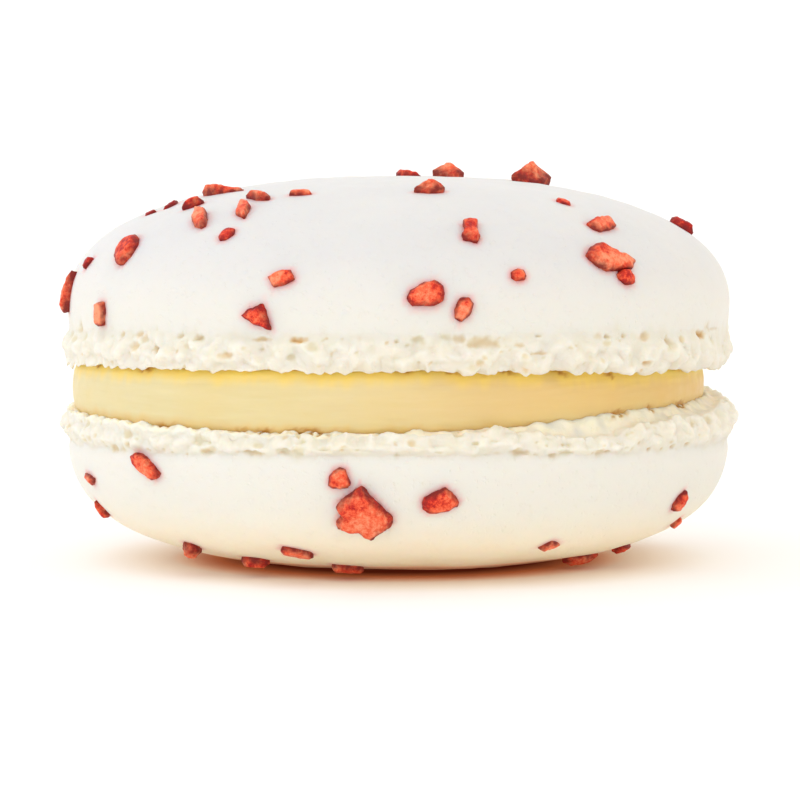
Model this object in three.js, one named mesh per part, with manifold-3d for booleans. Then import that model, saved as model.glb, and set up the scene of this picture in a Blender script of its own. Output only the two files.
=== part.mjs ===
// A french macaron: two domed meringue shells with ruffled feet round a disc of cream, and crumbs of
// dried red berry stuck to the domes. Millimetres, +Z up. The origin is the middle of the small flat spot
// that the lower shell rests on. The front, which the crumbs were measured from, faces -Y.
import * as THREE from "three";
import { SimplexNoise } from "three/addons/math/SimplexNoise.js";
import { mergeVertices } from "three/addons/utils/BufferGeometryUtils.js";
import Module from "manifold-3d";

const wasm = await Module();
wasm.setup();

// Driving dimensions of the shells. Each has three leaning planes: its base, which meets the cream, the seam
// between its foot and its dome, and the dome's widest plane. A plane has its height on the axis, and its
// rise per mm to the right and to the back. up is 1 where the dome is over the base, and -1 where it is
// under. The lip is the rim of the foot, which stands past the base, over the edge of the cream. Swells
// raise the lip or the seam, or widen the foot, round a bearing in degrees anticlockwise from the right.
const UPPER = {
  name: "upper_shell",
  up: 1,
  base: { z: 13.22, right: 0, back: -0.028 },
  seam: { z: 15.6, right: 0, back: -0.026 },
  widest: { z: 16.75, right: 0, back: -0.026 },
  domeRadius: 22.0,
  domeHeight: 8.65,
  roundness: 2.31,
  flatRadius: 0,
  footRadius: 22.15,
  lip: { height: 0.32, ragged: 0.2 },
  lipSwells: [
    { at: -90, halfWidth: 55, height: -0.14 },
    { at: 90, halfWidth: 60, height: -0.25 },
  ],
  seamSwells: [],
  footSwells: [{ at: 0, halfWidth: 22, height: -0.3 }],
  seed: 11,
};
const LOWER = {
  name: "lower_shell",
  up: -1,
  base: { z: 10.36, right: 0.0186, back: 0.028 },
  seam: { z: 7.9, right: 0, back: 0 },
  widest: { z: 9.4, right: 0, back: 0 },
  domeRadius: 22.0,
  domeHeight: 9.52,
  roundness: 2.9,
  flatRadius: 7.0,
  footRadius: 22.2,
  lip: { height: 0.12, ragged: 0.18 },
  lipSwells: [
    { at: -57, halfWidth: 11, height: -0.75 },
    { at: -22, halfWidth: 28, height: -0.35 },
    { at: 90, halfWidth: 60, height: -0.15 },
  ],
  seamSwells: [{ at: -90, halfWidth: 50, height: 0.6 }],
  footSwells: [],
  seed: 23,
};

// The ruffles of the feet: how far the lumps stand out, how wide the large and the small ones are, and how
// far the rim is tucked in.
const RUFFLES = { depth: 0.24, large: 2.4, small: 1.3, tuckedRim: 0.5 };

// The cream was pressed out a little more to the left than to the right.
const CREAM = {
  name: "cream_filling",
  radius: 21.0,
  right: -0.75,
  bulge: 0.3,
  edge: 0.7,
  waver: 0.12,
  gap: 0.1,
};

// How much wider than the cream the flat of a base is, the least wall of a foot outside that, and how far
// inside the dome's radius the seam is pinched.
const SEAT = { margin: 0.3, wall: 0.1, seamPinch: 0.12 };

// Where the faces go: columns round a shell and round the cream, radii of the rings in a flat base, shares
// of a foot's wall from rim to seam, and shares of the quarter turn from a dome's widest plane to its crown.
const COLUMNS = 160;
const CREAM_COLUMNS = 80;
const BASE_RINGS = { inner: 10, outer: 18 };
const WALL_SHARES = [0.12, 0.33, 0.55, 0.78];
const SIDE_SHARES = [0.075, 0.22, 0.36, 0.5];
const TOP_SHARES = [0.64, 0.77];
const CROWN_SHARE = 0.9;
const CREAM_SHARES = [0, 0.12, 0.5, 0.88, 1];

// Where the eye was when the crumbs were measured: the height on the axis that it looks at, its distance
// from there, how far it looks down, and the stretch of a sight line that can meet a dome.
const SIGHT = {
  height: 10.5,
  distance: 280,
  dip: THREE.MathUtils.degToRad(4),
  before: 26,
  after: 12,
  step: 0.02,
};

// How uneven the corners of crumbs are, in half lengths and half widths: where many crumbs share an outline,
// and where it is one crumb's own.
const ROUGH = 0.09;
const FINE = 0.02;
// The outlines that the crumbs have, anticlockwise, in half lengths along and half widths across, and how
// wide the top face is beside the outline. The tail's highest point is at its thick end, at top, and past its
// middle its waist and the edge of its top face are as low as far says, in shares of its height.
const FORMS = {
  oval: { crest: 0.6, uneven: ROUGH, outline: regularOutline(7) },
  slab: {
    crest: 0.78,
    uneven: ROUGH,
    outline: [[-1, -0.85], [0.25, -1], [1, -0.75], [0.9, 0.8], [-0.1, 1], [-1, 0.75]],
  },
  kite: {
    crest: 0.6,
    uneven: ROUGH,
    outline: [[-1, 0.05], [-0.1, -1], [0.75, -0.75], [1, 0], [0.35, 1], [-0.45, 0.7]],
  },
  wedge: {
    crest: 0.55,
    uneven: ROUGH,
    outline: [[-1, 0.15], [-0.1, -0.55], [1, -1], [0.8, 0.1], [0.45, 1], [-0.35, 0.75]],
  },
  drop: {
    crest: 0.65,
    uneven: ROUGH,
    outline: [[-1, 0.1], [-0.2, -0.75], [0.6, -1], [1, -0.3], [0.85, 0.6], [0.1, 0.8]],
  },
  peak: {
    crest: 0.25,
    uneven: ROUGH,
    outline: [[-1, -0.5], [-0.1, -1], [0.7, -0.9], [1, -0.1], [0.4, 0.9], [-0.6, 0.8]],
  },
  bar: {
    crest: 0.78,
    uneven: FINE,
    outline: [
      [-1, -0.35], [-0.7, -0.9], [0.1, -1], [0.85, -0.8], [1, -0.2], [0.9, 0.6], [0.3, 0.85], [-0.4, 1],
      [-0.9, 0.6],
    ],
  },
  lens: {
    crest: 0.66,
    uneven: FINE,
    outline: [
      [-1, -0.3], [-0.8, -0.8], [-0.1, -1], [0.6, -0.85], [1, -0.3], [0.95, 0.35], [0.5, 0.9], [-0.2, 1],
      [-0.75, 0.6],
    ],
  },
  gem: {
    crest: 0.72,
    uneven: FINE,
    outline: [
      [-1, -0.2], [-0.92, -0.66], [-0.65, -1], [0.35, -0.83], [0.88, -0.43], [1, -0.08], [0.6, 0.6],
      [0.27, 1], [-0.47, 0.5], [-0.88, 0.2],
    ],
  },
  lump: {
    crest: 0.7,
    uneven: FINE,
    outline: [
      [-1, -0.61], [-0.67, -0.92], [0.13, -1], [0.73, -0.9], [1, -0.54], [0.8, 0.1], [0.53, 0.85], [0, 1],
      [-0.5, 0.74], [-0.87, 0.17],
    ],
  },
  toe: {
    crest: 0.74,
    uneven: FINE,
    outline: [
      [-1, -0.42], [-0.7, -1], [-0.1, -1], [0.58, -0.95], [0.9, -0.6], [1, 0], [0.91, 0.58], [0.47, 1],
      [0.05, 0.88], [-0.31, 0.64], [-0.81, 0.25],
    ],
  },
  bean: {
    crest: 0.76,
    uneven: FINE,
    outline: [
      [-0.95, -0.41], [-0.71, -0.7], [-0.3, -0.95], [0.08, -1], [0.42, -0.61], [1, 0], [1, 0.7],
      [0.63, 0.97], [0.21, 0.76], [-0.19, 0.95], [-0.66, 1], [-0.95, 0.29],
    ],
  },
  rhomb: {
    crest: 0.7,
    uneven: FINE,
    outline: [
      [-1, 0.07], [-0.58, -0.6], [-0.1, -1], [0.53, -0.71], [1, -0.27], [0.8, 0.29], [0.46, 1],
      [-0.58, 0.62],
    ],
  },
  plug: {
    crest: 0.78,
    uneven: FINE,
    outline: [
      [-1, -0.72], [-0.56, -1], [0.02, -0.67], [0.92, -0.72], [1, 0.15], [0.92, 0.91], [0.02, 0.65],
      [-0.39, 1], [-0.72, 0.74], [-0.84, 0.04],
    ],
  },
  tail: {
    crest: 0.74,
    uneven: FINE,
    top: -0.45,
    far: { waist: 0.28, shoulder: 0.45 },
    outline: [
      [-1, -0.73], [-0.6, -0.97], [-0.07, -0.63], [0.4, -0.35], [0.8, -0.2], [1, 0.1], [0.87, 0.55],
      [0.4, 0.55], [-0.07, 0.45], [-0.44, 1], [-0.86, 0.1],
    ],
  },
  shard: {
    crest: 0.78,
    uneven: FINE,
    outline: [
      [-0.98, 0.3], [-0.75, 0.04], [-0.92, -0.3], [-0.9, -0.58], [-0.4, -0.71], [-0.09, -0.7], [0.26, -1],
      [0.64, -0.67], [0.96, -0.45], [1, -0.15], [0.8, 0.05], [0.36, 0.52], [-0.09, 1], [-0.5, 0.72],
    ],
  },
};

// The crumbs that show from the front, each as [across, up, length, width, spin, height, form]. Across and up
// are where the crumb's middle is seen, from the axis and from the table. Length and width are as seen, spin
// is from level, anticlockwise, in degrees, and height is how far the crumb stands out of the dome.
const UPPER_CRUMBS = [
  [-11.7, 24.3, 2.8, 0.9, 3, 0.65, "tail"],
  [-9.3, 23.9, 1.65, 0.95, 0, 0.6, "kite"],
  [-6.5, 24.2, 1.45, 0.55, 3, 0.35, "slab"],
  [-13.7, 23.4, 1.65, 0.85, 22, 0.6, "drop"],
  [-13.2, 22.5, 2.1, 1.1, 82, 0.6, "bar"],
  [-10.3, 23.1, 1.55, 1.15, 62, 0.5, "slab"],
  [-11.4, 21.5, 1.25, 0.8, 28, 0.35, "oval"],
  [-18.1, 20.5, 2.25, 1.8, 50, 0.5, "lens"],
  [-15.2, 23.4, 1.2, 0.6, 28, 0.25, "drop"],
  [-16.5, 22.9, 0.8, 0.5, 22, 0.2, "slab"],
  [-20.6, 19.6, 0.9, 0.5, 52, 0.35, "slab"],
  [-21.9, 17.7, 3.0, 1.1, 258, 0.55, "drop"],
  [-19.8, 16.3, 1.6, 0.75, 87, 0.4, "slab"],
  [-7.7, 18.6, 1.6, 0.85, 18, 0.45, "slab"],
  [-9.5, 16.0, 1.9, 1.7, 0, 0.6, "wedge"],
  [0.7, 25.7, 1.85, 0.8, 172, 0.4, "drop"],
  [3.4, 25.6, 2.2, 1.0, -6, 0.95, "peak"],
  [2.1, 24.4, 2.05, 1.0, 0, 0.85, "peak"],
  [8.8, 25.0, 2.85, 1.6, 0, 1.4, "peak"],
  [11.0, 23.6, 1.0, 0.45, -18, 0.25, "slab"],
  [4.8, 21.7, 1.65, 1.2, 90, 0.5, "plug"],
  [13.5, 22.1, 1.95, 1.5, 0, 0.5, "rhomb"],
  [14.0, 19.8, 3.1, 1.45, -22, 0.6, "bean"],
  [15.1, 18.7, 1.3, 0.9, -38, 0.5, "oval"],
  [19.0, 22.0, 1.9, 0.85, 148, 0.6, "drop"],
  [8.0, 18.8, 1.05, 0.8, 0, 0.4, "oval"],
  [1.8, 17.6, 2.4, 1.6, 0, 0.6, "toe"],
  [4.3, 16.6, 1.75, 1.15, 66, 0.55, "oval"],
];
const LOWER_CRUMBS = [
  [-16.8, 6.1, 2.25, 0.9, -42, 0.45, "bar"],
  [-20.5, 5.3, 1.2, 0.8, -45, 0.35, "wedge"],
  [-19.7, 3.3, 1.5, 0.7, -48, 0.45, "drop"],
  [-13.7, 0.75, 1.35, 1.2, -20, 0.8, "oval"],
  [-9.5, -0.1, 2.0, 0.8, -5, 0.6, "kite"],
  [-6.7, 0.4, 2.1, 0.65, -10, 0.4, "slab"],
  [-3.9, 5.3, 1.45, 1.35, 0, 0.5, "lump"],
  [-2.3, 3.0, 3.7, 3.35, 0, 0.85, "shard"],
  [-3.3, -0.6, 2.1, 0.8, -5, 0.45, "slab"],
  [2.8, 3.85, 2.35, 1.65, 0, 0.6, "gem"],
  [10.0, 0.9, 1.35, 0.75, 20, 0.4, "wedge"],
  [12.4, -0.2, 2.6, 0.9, 8, 0.55, "kite"],
  [15.2, 0.5, 1.4, 0.7, 18, 0.4, "wedge"],
  [18.7, 3.8, 1.65, 0.95, 238, 0.5, "drop"],
  [18.5, 2.4, 0.9, 0.45, 38, 0.3, "slab"],
];
// The far side has about as many, scattered by a rule, with the plainer outlines. Bearings are in degrees,
// and a share is of the quarter turn from the dome's widest plane to its crown.
const FAR_CRUMBS = {
  upper: { count: 24, firstShare: 0.03, lastShare: 0.67 },
  lower: { count: 14, firstShare: 0.16, lastShare: 0.6 },
  firstBearing: 16,
  lastBearing: 164,
  forms: ["oval", "slab", "kite", "wedge", "drop"],
  shortest: 0.9,
  longest: 2.9,
};
// How deep a crumb is sunk in the shell, how far its lowest corner stays over the table, how much longer than
// it looks a crumb seen aslant can be, how wide its foot is beside the outline, and in shares of its height,
// where it is widest, and where the edge of its sloping top is.
const CRUMB = {
  sunk: 0.35,
  floorGap: 0.05,
  longestAslant: 1.5,
  foot: 0.9,
  waist: { lowest: 0.15, range: 0.3 },
  shoulder: { middle: 0.88, slope: 0.12 },
};

const GOLDEN_SHARE = (Math.sqrt(5) - 1) / 2;
const TURN = 2 * Math.PI;

function regularOutline(corners) {
  const angles = Array.from({ length: corners }, (_, i) => (2 * Math.PI * i) / corners);
  return angles.map((angle) => [Math.cos(angle), Math.sin(angle)]);
}

// A seeded draw of numbers from 0 to 1.
function draws(seed) {
  let state = seed >>> 0;
  return () => {
    state = (Math.imul(state, 1664525) + 1013904223) >>> 0;
    return state / 4294967296;
  };
}

const noiseOf = (seed) => new SimplexNoise({ random: draws(seed) });

const planeZ = (plane, x, y) => plane.z + plane.right * x + plane.back * y;

const onPlane = (plane, bearing, radius, offset) => {
  const x = radius * Math.cos(bearing);
  const y = radius * Math.sin(bearing);
  return new THREE.Vector3(x, y, planeZ(plane, x, y) + offset);
};

// The sum of smooth humps at a bearing.
function swell(swells, bearing) {
  return swells.reduce((sum, { at, halfWidth, height }) => {
    const off = bearing - THREE.MathUtils.degToRad(at);
    const turned = Math.atan2(Math.sin(off), Math.cos(off));
    return sum + height * Math.exp(-((turned / THREE.MathUtils.degToRad(halfWidth)) ** 2));
  }, 0);
}

// Noise on the round wall of a foot, with lumps of a given size.
function wallNoise(shell, noise, bearing, height, size) {
  const reach = shell.footRadius / size;
  return noise.noise3d(reach * Math.cos(bearing), reach * Math.sin(bearing), height / size);
}

// How far the cream reaches from the shells' axis in a direction.
function creamReach(bearing) {
  const along = CREAM.right * Math.cos(bearing);
  const aside = CREAM.right * Math.sin(bearing);
  return along + Math.sqrt(CREAM.radius ** 2 - aside ** 2) + CREAM.waver * Math.sin(3 * bearing + 1);
}

const seatRadius = (bearing) => creamReach(bearing) + SEAT.margin;

// The radius of a foot's wall, height mm from its rim. Lumps stand out all over, and the rim is tucked in.
function footWall(shell, noise, bearing, height) {
  const tucked = RUFFLES.tuckedRim * Math.max(0, 1 - height) ** 2;
  const large = wallNoise(shell, noise, bearing, height, RUFFLES.large);
  const small = wallNoise(shell, noise, bearing, height, RUFFLES.small);
  const lumps = RUFFLES.depth * (large + 0.6 * small);
  const radius = shell.footRadius + swell(shell.footSwells, bearing) - tucked + lumps;
  return Math.max(radius, seatRadius(bearing) + SEAT.wall);
}

// How far the ragged rim stands past the base. A rim with little wall outside the cream has no room for it.
function lipHeight(shell, noise, bearing) {
  const broad = wallNoise(shell, noise, bearing, 20, 1.6 * RUFFLES.large);
  const fine = wallNoise(shell, noise, bearing, 40, RUFFLES.small);
  const height = shell.lip.height + swell(shell.lipSwells, bearing) + shell.lip.ragged * (broad + 0.6 * fine);
  const room = (footWall(shell, noise, bearing, 0) - seatRadius(bearing)) / 0.6;
  return height > 0 ? height * Math.min(1, room) : height;
}

// The dome's half outline: radius, and rise from its widest plane, for a share of a quarter turn.
function domeOutline(shell, share) {
  const power = 2 / shell.roundness;
  const angle = (share * Math.PI) / 2;
  return {
    radius: shell.domeRadius * Math.cos(angle) ** power,
    rise: shell.domeHeight * Math.sin(angle) ** power,
  };
}

function domePoint(shell, bearing, share) {
  const { radius, rise } = domeOutline(shell, share);
  return onPlane(shell.widest, bearing, radius, shell.up * rise);
}

function ring(count, pointAt) {
  return Array.from({ length: count }, (_, i) => pointAt((TURN * i) / count));
}

// A closed surface through rings of points from the bottom to the top. A ring has as many points as its
// neighbour, twice or half as many, or one, as at the two ends.
function closedSurface(rings) {
  const positions = [];
  const index = [];
  const starts = rings.map((points) => {
    const start = positions.length / 3;
    points.forEach((p) => positions.push(p.x, p.y, p.z));
    return start;
  });
  const face = (a, b, c) => {
    index.push(a, b, c);
  };
  for (let k = 0; k + 1 < rings.length; k++) {
    const low = rings[k].length;
    const high = rings[k + 1].length;
    const lowAt = (i) => starts[k] + (i % low);
    const highAt = (i) => starts[k + 1] + (i % high);
    for (let i = 0; i < Math.max(low, high); i++) {
      if (low === 1) {
        face(lowAt(0), highAt(i + 1), highAt(i));
      } else if (high === 1) {
        face(lowAt(i), lowAt(i + 1), highAt(0));
      } else if (low === high && (i + k) % 2 === 0) {
        face(lowAt(i), lowAt(i + 1), highAt(i + 1));
        face(lowAt(i), highAt(i + 1), highAt(i));
      } else if (low === high) {
        face(lowAt(i), lowAt(i + 1), highAt(i));
        face(lowAt(i + 1), highAt(i + 1), highAt(i));
      } else if (low < high && i % 2 === 0) {
        face(lowAt(i / 2), highAt(i + 1), highAt(i));
        face(lowAt(i / 2), lowAt(i / 2 + 1), highAt(i + 1));
      } else if (low < high) {
        face(lowAt((i + 1) / 2), highAt(i + 1), highAt(i));
      } else if (i % 2 === 0) {
        face(lowAt(i), lowAt(i + 1), highAt(i / 2));
        face(lowAt(i + 1), highAt(i / 2 + 1), highAt(i / 2));
      } else {
        face(lowAt(i), lowAt(i + 1), highAt((i + 1) / 2));
      }
    }
  }
  const geometry = new THREE.BufferGeometry();
  geometry.setAttribute("position", new THREE.Float32BufferAttribute(positions, 3));
  geometry.setIndex(index);
  return geometry;
}

// A shell's rings, from the middle of its base out over the ruffled foot to its seam, and over the dome.
function shellRings(shell) {
  const noise = noiseOf(shell.seed);
  const { base, seam, up } = shell;
  const rimPoint = (bearing) =>
    onPlane(base, bearing, footWall(shell, noise, bearing, 0), -up * lipHeight(shell, noise, bearing));
  const seamPoint = (bearing) =>
    onPlane(seam, bearing, shell.domeRadius - SEAT.seamPinch, swell(shell.seamSwells, bearing));
  const wallPoint = (bearing, share) => {
    const rim = rimPoint(bearing);
    const top = seamPoint(bearing);
    const height = share * Math.abs(top.z - rim.z);
    const radius = footWall(shell, noise, bearing, height);
    return new THREE.Vector3(
      radius * Math.cos(bearing),
      radius * Math.sin(bearing),
      THREE.MathUtils.lerp(rim.z, top.z, share),
    );
  };
  const rings = [
    [onPlane(base, 0, 0, 0)],
    ring(COLUMNS / 4, (b) => onPlane(base, b, BASE_RINGS.inner, 0)),
    ring(COLUMNS / 2, (b) => onPlane(base, b, BASE_RINGS.outer, 0)),
    ring(COLUMNS, (b) => onPlane(base, b, seatRadius(b), 0)),
    ring(COLUMNS, rimPoint),
    ...WALL_SHARES.map((share) => ring(COLUMNS, (b) => wallPoint(b, share))),
    ring(COLUMNS, seamPoint),
    ...SIDE_SHARES.map((share) => ring(COLUMNS / 2, (b) => domePoint(shell, b, share))),
    ...TOP_SHARES.map((share) => ring(COLUMNS / 4, (b) => domePoint(shell, b, share))),
  ];
  if (shell.flatRadius > 0) {
    const floor = { z: 0, right: 0, back: 0 };
    rings.push(ring(COLUMNS / 4, (b) => onPlane(floor, b, shell.flatRadius, 0)));
    rings.push([onPlane(floor, 0, 0, 0)]);
  } else {
    rings.push(ring(COLUMNS / 8, (b) => domePoint(shell, b, CROWN_SHARE)));
    rings.push([onPlane(shell.widest, 0, 0, up * shell.domeHeight)]);
  }
  return up > 0 ? rings : rings.reverse();
}

// How far a point is outside the dome: 0 on it, under 0 inside.
function outsideDome(shell, point) {
  const plane = planeZ(shell.widest, point.x, point.y);
  const rise = Math.max(0, shell.up * (point.z - plane));
  const radius = Math.hypot(point.x, point.y);
  const reach = (radius / shell.domeRadius) ** shell.roundness + (rise / shell.domeHeight) ** shell.roundness;
  return { reach: reach - 1, plane, rise, radius, point };
}

// Draws a point in to the dome's surface, and finds the surface's normal there.
function ontoDome(shell, { reach, plane, rise, radius, point }) {
  const n = shell.roundness;
  const shrink = (reach + 1) ** (-1 / n);
  const sideways = ((radius * shrink) / shell.domeRadius) ** (n - 1) / shell.domeRadius;
  const upwards = ((rise * shrink) / shell.domeHeight) ** (n - 1) / shell.domeHeight;
  const z = rise > 0 ? plane + shell.up * rise * shrink : point.z;
  return {
    point: new THREE.Vector3(point.x * shrink, point.y * shrink, z),
    normal: new THREE.Vector3(
      (sideways * point.x) / radius,
      (sideways * point.y) / radius,
      shell.up * upwards,
    ).normalize(),
  };
}

// A crumb from its row: the point of the dome where it is seen, and its half axes laid on the dome so that
// they look as long as measured. Where the sight line misses the dome, the point is the nearest to the line.
function seenCrumb(shell, [across, up, length, width, spin, height, form]) {
  const right = new THREE.Vector3(1, 0, 0);
  const forward = new THREE.Vector3(0, Math.cos(SIGHT.dip), -Math.sin(SIGHT.dip));
  const upward = new THREE.Vector3(0, Math.sin(SIGHT.dip), Math.cos(SIGHT.dip));
  const aim = new THREE.Vector3(0, 0, SIGHT.height);
  const eye = aim.clone().addScaledVector(forward, -SIGHT.distance);
  const seen = aim.addScaledVector(right, across).addScaledVector(upward, up - SIGHT.height);
  const way = seen.sub(eye).normalize();
  const last = SIGHT.distance + SIGHT.after;
  let best = { reach: Infinity };
  for (let t = SIGHT.distance - SIGHT.before; t < last && best.reach > 0; t += SIGHT.step) {
    const found = outsideDome(shell, eye.clone().addScaledVector(way, t));
    if (found.reach < best.reach) {
      best = found;
    }
  }
  const { point, normal } = ontoDome(shell, best);
  const facing = Math.min(way.dot(normal), -0.15);
  const laid = (turn, half) => {
    const seenAlong = right.clone().multiplyScalar(Math.cos(turn)).addScaledVector(upward, Math.sin(turn));
    const flat = seenAlong.addScaledVector(way, -seenAlong.dot(normal) / facing);
    return flat.clampLength(1, CRUMB.longestAslant).multiplyScalar(half);
  };
  const turn = THREE.MathUtils.degToRad(spin);
  return {
    point,
    normal,
    along: laid(turn, length / 2),
    across: laid(turn + Math.PI / 2, width / 2),
    height,
    form,
  };
}

// The crumbs of the far side: bearings by the golden share over the back, evenly spread up the dome.
function farCrumbs(shell, { count, firstShare, lastShare }) {
  const random = draws(shell.seed * 7 + 1);
  return Array.from({ length: count }, (_, i) => {
    const turned = (i * GOLDEN_SHARE + 0.1 * random()) % 1;
    const bearing = THREE.MathUtils.degToRad(
      THREE.MathUtils.lerp(FAR_CRUMBS.firstBearing, FAR_CRUMBS.lastBearing, turned),
    );
    const share = THREE.MathUtils.lerp(firstShare, lastShare, (i + random()) / count);
    const length = FAR_CRUMBS.shortest * (FAR_CRUMBS.longest / FAR_CRUMBS.shortest) ** (random() ** 1.6);
    const width = length * (0.5 + 0.4 * random());
    const spin = TURN * random();
    const form = FAR_CRUMBS.forms[Math.floor(FAR_CRUMBS.forms.length * random())];
    const height = width * (0.35 + 0.2 * random());
    const { point, normal } = ontoDome(shell, outsideDome(shell, domePoint(shell, bearing, share)));
    const level = new THREE.Vector3(-normal.y, normal.x, 0).normalize();
    const climb = new THREE.Vector3().crossVectors(normal, level);
    const laid = (angle, half) =>
      level.clone().multiplyScalar(half * Math.cos(angle)).addScaledVector(climb, half * Math.sin(angle));
    const along = laid(spin, length / 2);
    const across = laid(spin + Math.PI / 2, width / 2);
    return { point, normal, along, across, height, form };
  });
}

// One crumb: a chip with uneven corners, widest a little over the shell, a sloping top and a sunk foot.
function crumbGeometry({ point, normal, along, across, height, form }, seed) {
  const random = draws(seed * 97 + 5);
  const { crest, uneven, outline, top = 0, far } = FORMS[form];
  const slope = TURN * random();
  const corners = outline.map(([a, b]) => {
    const corner = {
      a: a + uneven * (2 * random() - 1),
      b: b + uneven * (2 * random() - 1),
      waist: CRUMB.waist.lowest + CRUMB.waist.range * random(),
      shoulder: CRUMB.shoulder.middle + CRUMB.shoulder.slope * Math.cos(Math.atan2(b, a) - slope),
    };
    return far && a > 0 ? { ...corner, ...far } : corner;
  });
  const place = (a, b, rise) => {
    const laid = point.clone().addScaledVector(along, a).addScaledVector(across, b);
    const raised = laid.addScaledVector(normal, rise);
    return raised.setZ(Math.max(raised.z, CRUMB.floorGap));
  };
  return closedSurface([
    [place(0, 0, -CRUMB.sunk)],
    corners.map((c) => place(CRUMB.foot * c.a, CRUMB.foot * c.b, -CRUMB.sunk)),
    corners.map((c) => place(c.a, c.b, c.waist * height)),
    corners.map((c) => place(crest * c.a, crest * c.b, c.shoulder * height)),
    [place(top, 0, height)],
  ]);
}

// A geometry as a manifold-3d solid, and back.
function solidOf(geometry) {
  const merged = mergeVertices(geometry, 1e-5);
  return new wasm.Manifold(
    new wasm.Mesh({
      numProp: 3,
      vertProperties: merged.attributes.position.array,
      triVerts: new Uint32Array(merged.index.array),
    }),
  );
}

function geometryOf(solid) {
  const { vertProperties, triVerts } = solid.getMesh();
  const geometry = new THREE.BufferGeometry();
  geometry.setAttribute("position", new THREE.BufferAttribute(vertProperties, 3));
  geometry.setIndex(new THREE.BufferAttribute(triVerts, 1));
  geometry.computeVertexNormals();
  return geometry;
}

// A shell with its crumbs fused to it.
function crumbedShell(shell, rows, far) {
  const crumbs = [...rows.map((row) => seenCrumb(shell, row)), ...farCrumbs(shell, far)];
  const solids = crumbs.map((crumb, i) => solidOf(crumbGeometry(crumb, shell.seed + i)));
  const body = solidOf(closedSurface(shellRings(shell)));
  return geometryOf(solids.reduce((joined, solid) => joined.add(solid), body));
}

// The cream: a disc between the two leaning bases, with rounded edges and a slightly bulging side.
function creamGeometry() {
  const inward = (share) => {
    const edge = Math.abs(2 * share - 1);
    return CREAM.bulge * edge ** 2 + CREAM.edge * edge ** 8;
  };
  const at = (bearing, radius, share) => {
    const low = onPlane(LOWER.base, bearing, radius, CREAM.gap);
    const high = onPlane(UPPER.base, bearing, radius, -CREAM.gap);
    return low.lerp(high, share);
  };
  const flat = (share) => [
    ring(CREAM_COLUMNS / 4, (b) => at(b, BASE_RINGS.inner, share)),
    ring(CREAM_COLUMNS / 2, (b) => at(b, BASE_RINGS.outer, share)),
  ];
  const side = CREAM_SHARES.map((share) =>
    ring(CREAM_COLUMNS, (b) => at(b, creamReach(b) - inward(share), share)),
  );
  return closedSurface([[at(0, 0, 0)], ...flat(0), ...side, ...flat(1).reverse(), [at(0, 0, 1)]]);
}

function piece(name, geometry, colour, roughness) {
  const material = new THREE.MeshStandardMaterial({ color: colour, roughness, metalness: 0 });
  const mesh = new THREE.Mesh(geometry, material);
  mesh.name = name;
  return mesh;
}

const macaron = new THREE.Group();
macaron.add(piece(LOWER.name, crumbedShell(LOWER, LOWER_CRUMBS, FAR_CRUMBS.lower), 0xf6eee0, 0.7));
macaron.add(piece(CREAM.name, creamGeometry(), 0xefd996, 0.5));
macaron.add(piece(UPPER.name, crumbedShell(UPPER, UPPER_CRUMBS, FAR_CRUMBS.upper), 0xf7f3ea, 0.7));

export default macaron;
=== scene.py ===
import math
from types import SimpleNamespace

import bmesh
import bpy
import numpy as np
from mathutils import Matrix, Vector


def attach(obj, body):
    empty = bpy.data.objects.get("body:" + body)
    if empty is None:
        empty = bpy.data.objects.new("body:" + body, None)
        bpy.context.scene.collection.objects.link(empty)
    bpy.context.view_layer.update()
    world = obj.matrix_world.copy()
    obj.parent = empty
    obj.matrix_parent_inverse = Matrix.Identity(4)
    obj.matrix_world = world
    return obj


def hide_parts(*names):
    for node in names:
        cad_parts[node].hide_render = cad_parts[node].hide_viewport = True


# The looks of a french macaron: two meringue shells with crumbly feet, the cream between them, and the
# crumbs of dried berry on the domes. Lengths are in millimetres, as in the frame's own source, and
# turn into metres where a mesh is made. The front faces -Y. Planes are (height on the axis, rise per mm
# to the right, rise per mm to the back), and bearings are anticlockwise from the right.
MM = 0.001
TURN = 2 * math.pi

# The shells. up is 1 where the dome is over the base and -1 where it is under. Swells raise the rim of
# the foot or the seam, or widen the foot, as (bearing, half width, height), the first two in degrees.
# Climbs, which only show here, are where the foam comes up the side of the cream.
UPPER = SimpleNamespace(
    name="upper",
    up=1,
    base=(13.22, 0, -0.028),
    seam=(15.6, 0, -0.026),
    widest=(16.75, 0, -0.026),
    dome_radius=22.0,
    dome_height=8.65,
    roundness=2.31,
    flat_radius=0,
    foot_radius=22.15,
    lip_height=0.32,
    lip_ragged=0.2,
    lip_swells=[(-90, 55, -0.14), (90, 60, -0.25)],
    seam_swells=[],
    foot_swells=[(0, 22, -0.3)],
    climbs=[],
    seed=11,
)
LOWER = SimpleNamespace(
    name="lower",
    up=-1,
    base=(10.36, 0.0186, 0.028),
    seam=(7.9, 0, 0),
    widest=(9.4, 0, 0),
    dome_radius=22.0,
    dome_height=9.52,
    roundness=2.9,
    flat_radius=7.0,
    foot_radius=22.2,
    lip_height=0.12,
    lip_ragged=0.18,
    lip_swells=[(-57, 11, -0.75), (-22, 28, -0.35), (90, 60, -0.15)],
    seam_swells=[(-90, 50, 0.6)],
    foot_swells=[],
    climbs=[(-143, 32, 0.2), (-41, 26, 0.42), (90, 70, 0.1)],
    seed=23,
)
RUFFLES = SimpleNamespace(depth=0.24, large=2.4, small=1.3, tucked_rim=0.5)
CREAM = SimpleNamespace(radius=21.0, right=-0.75, bulge=0.3, edge=0.22, waver=0.12, gap=0.01)
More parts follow.
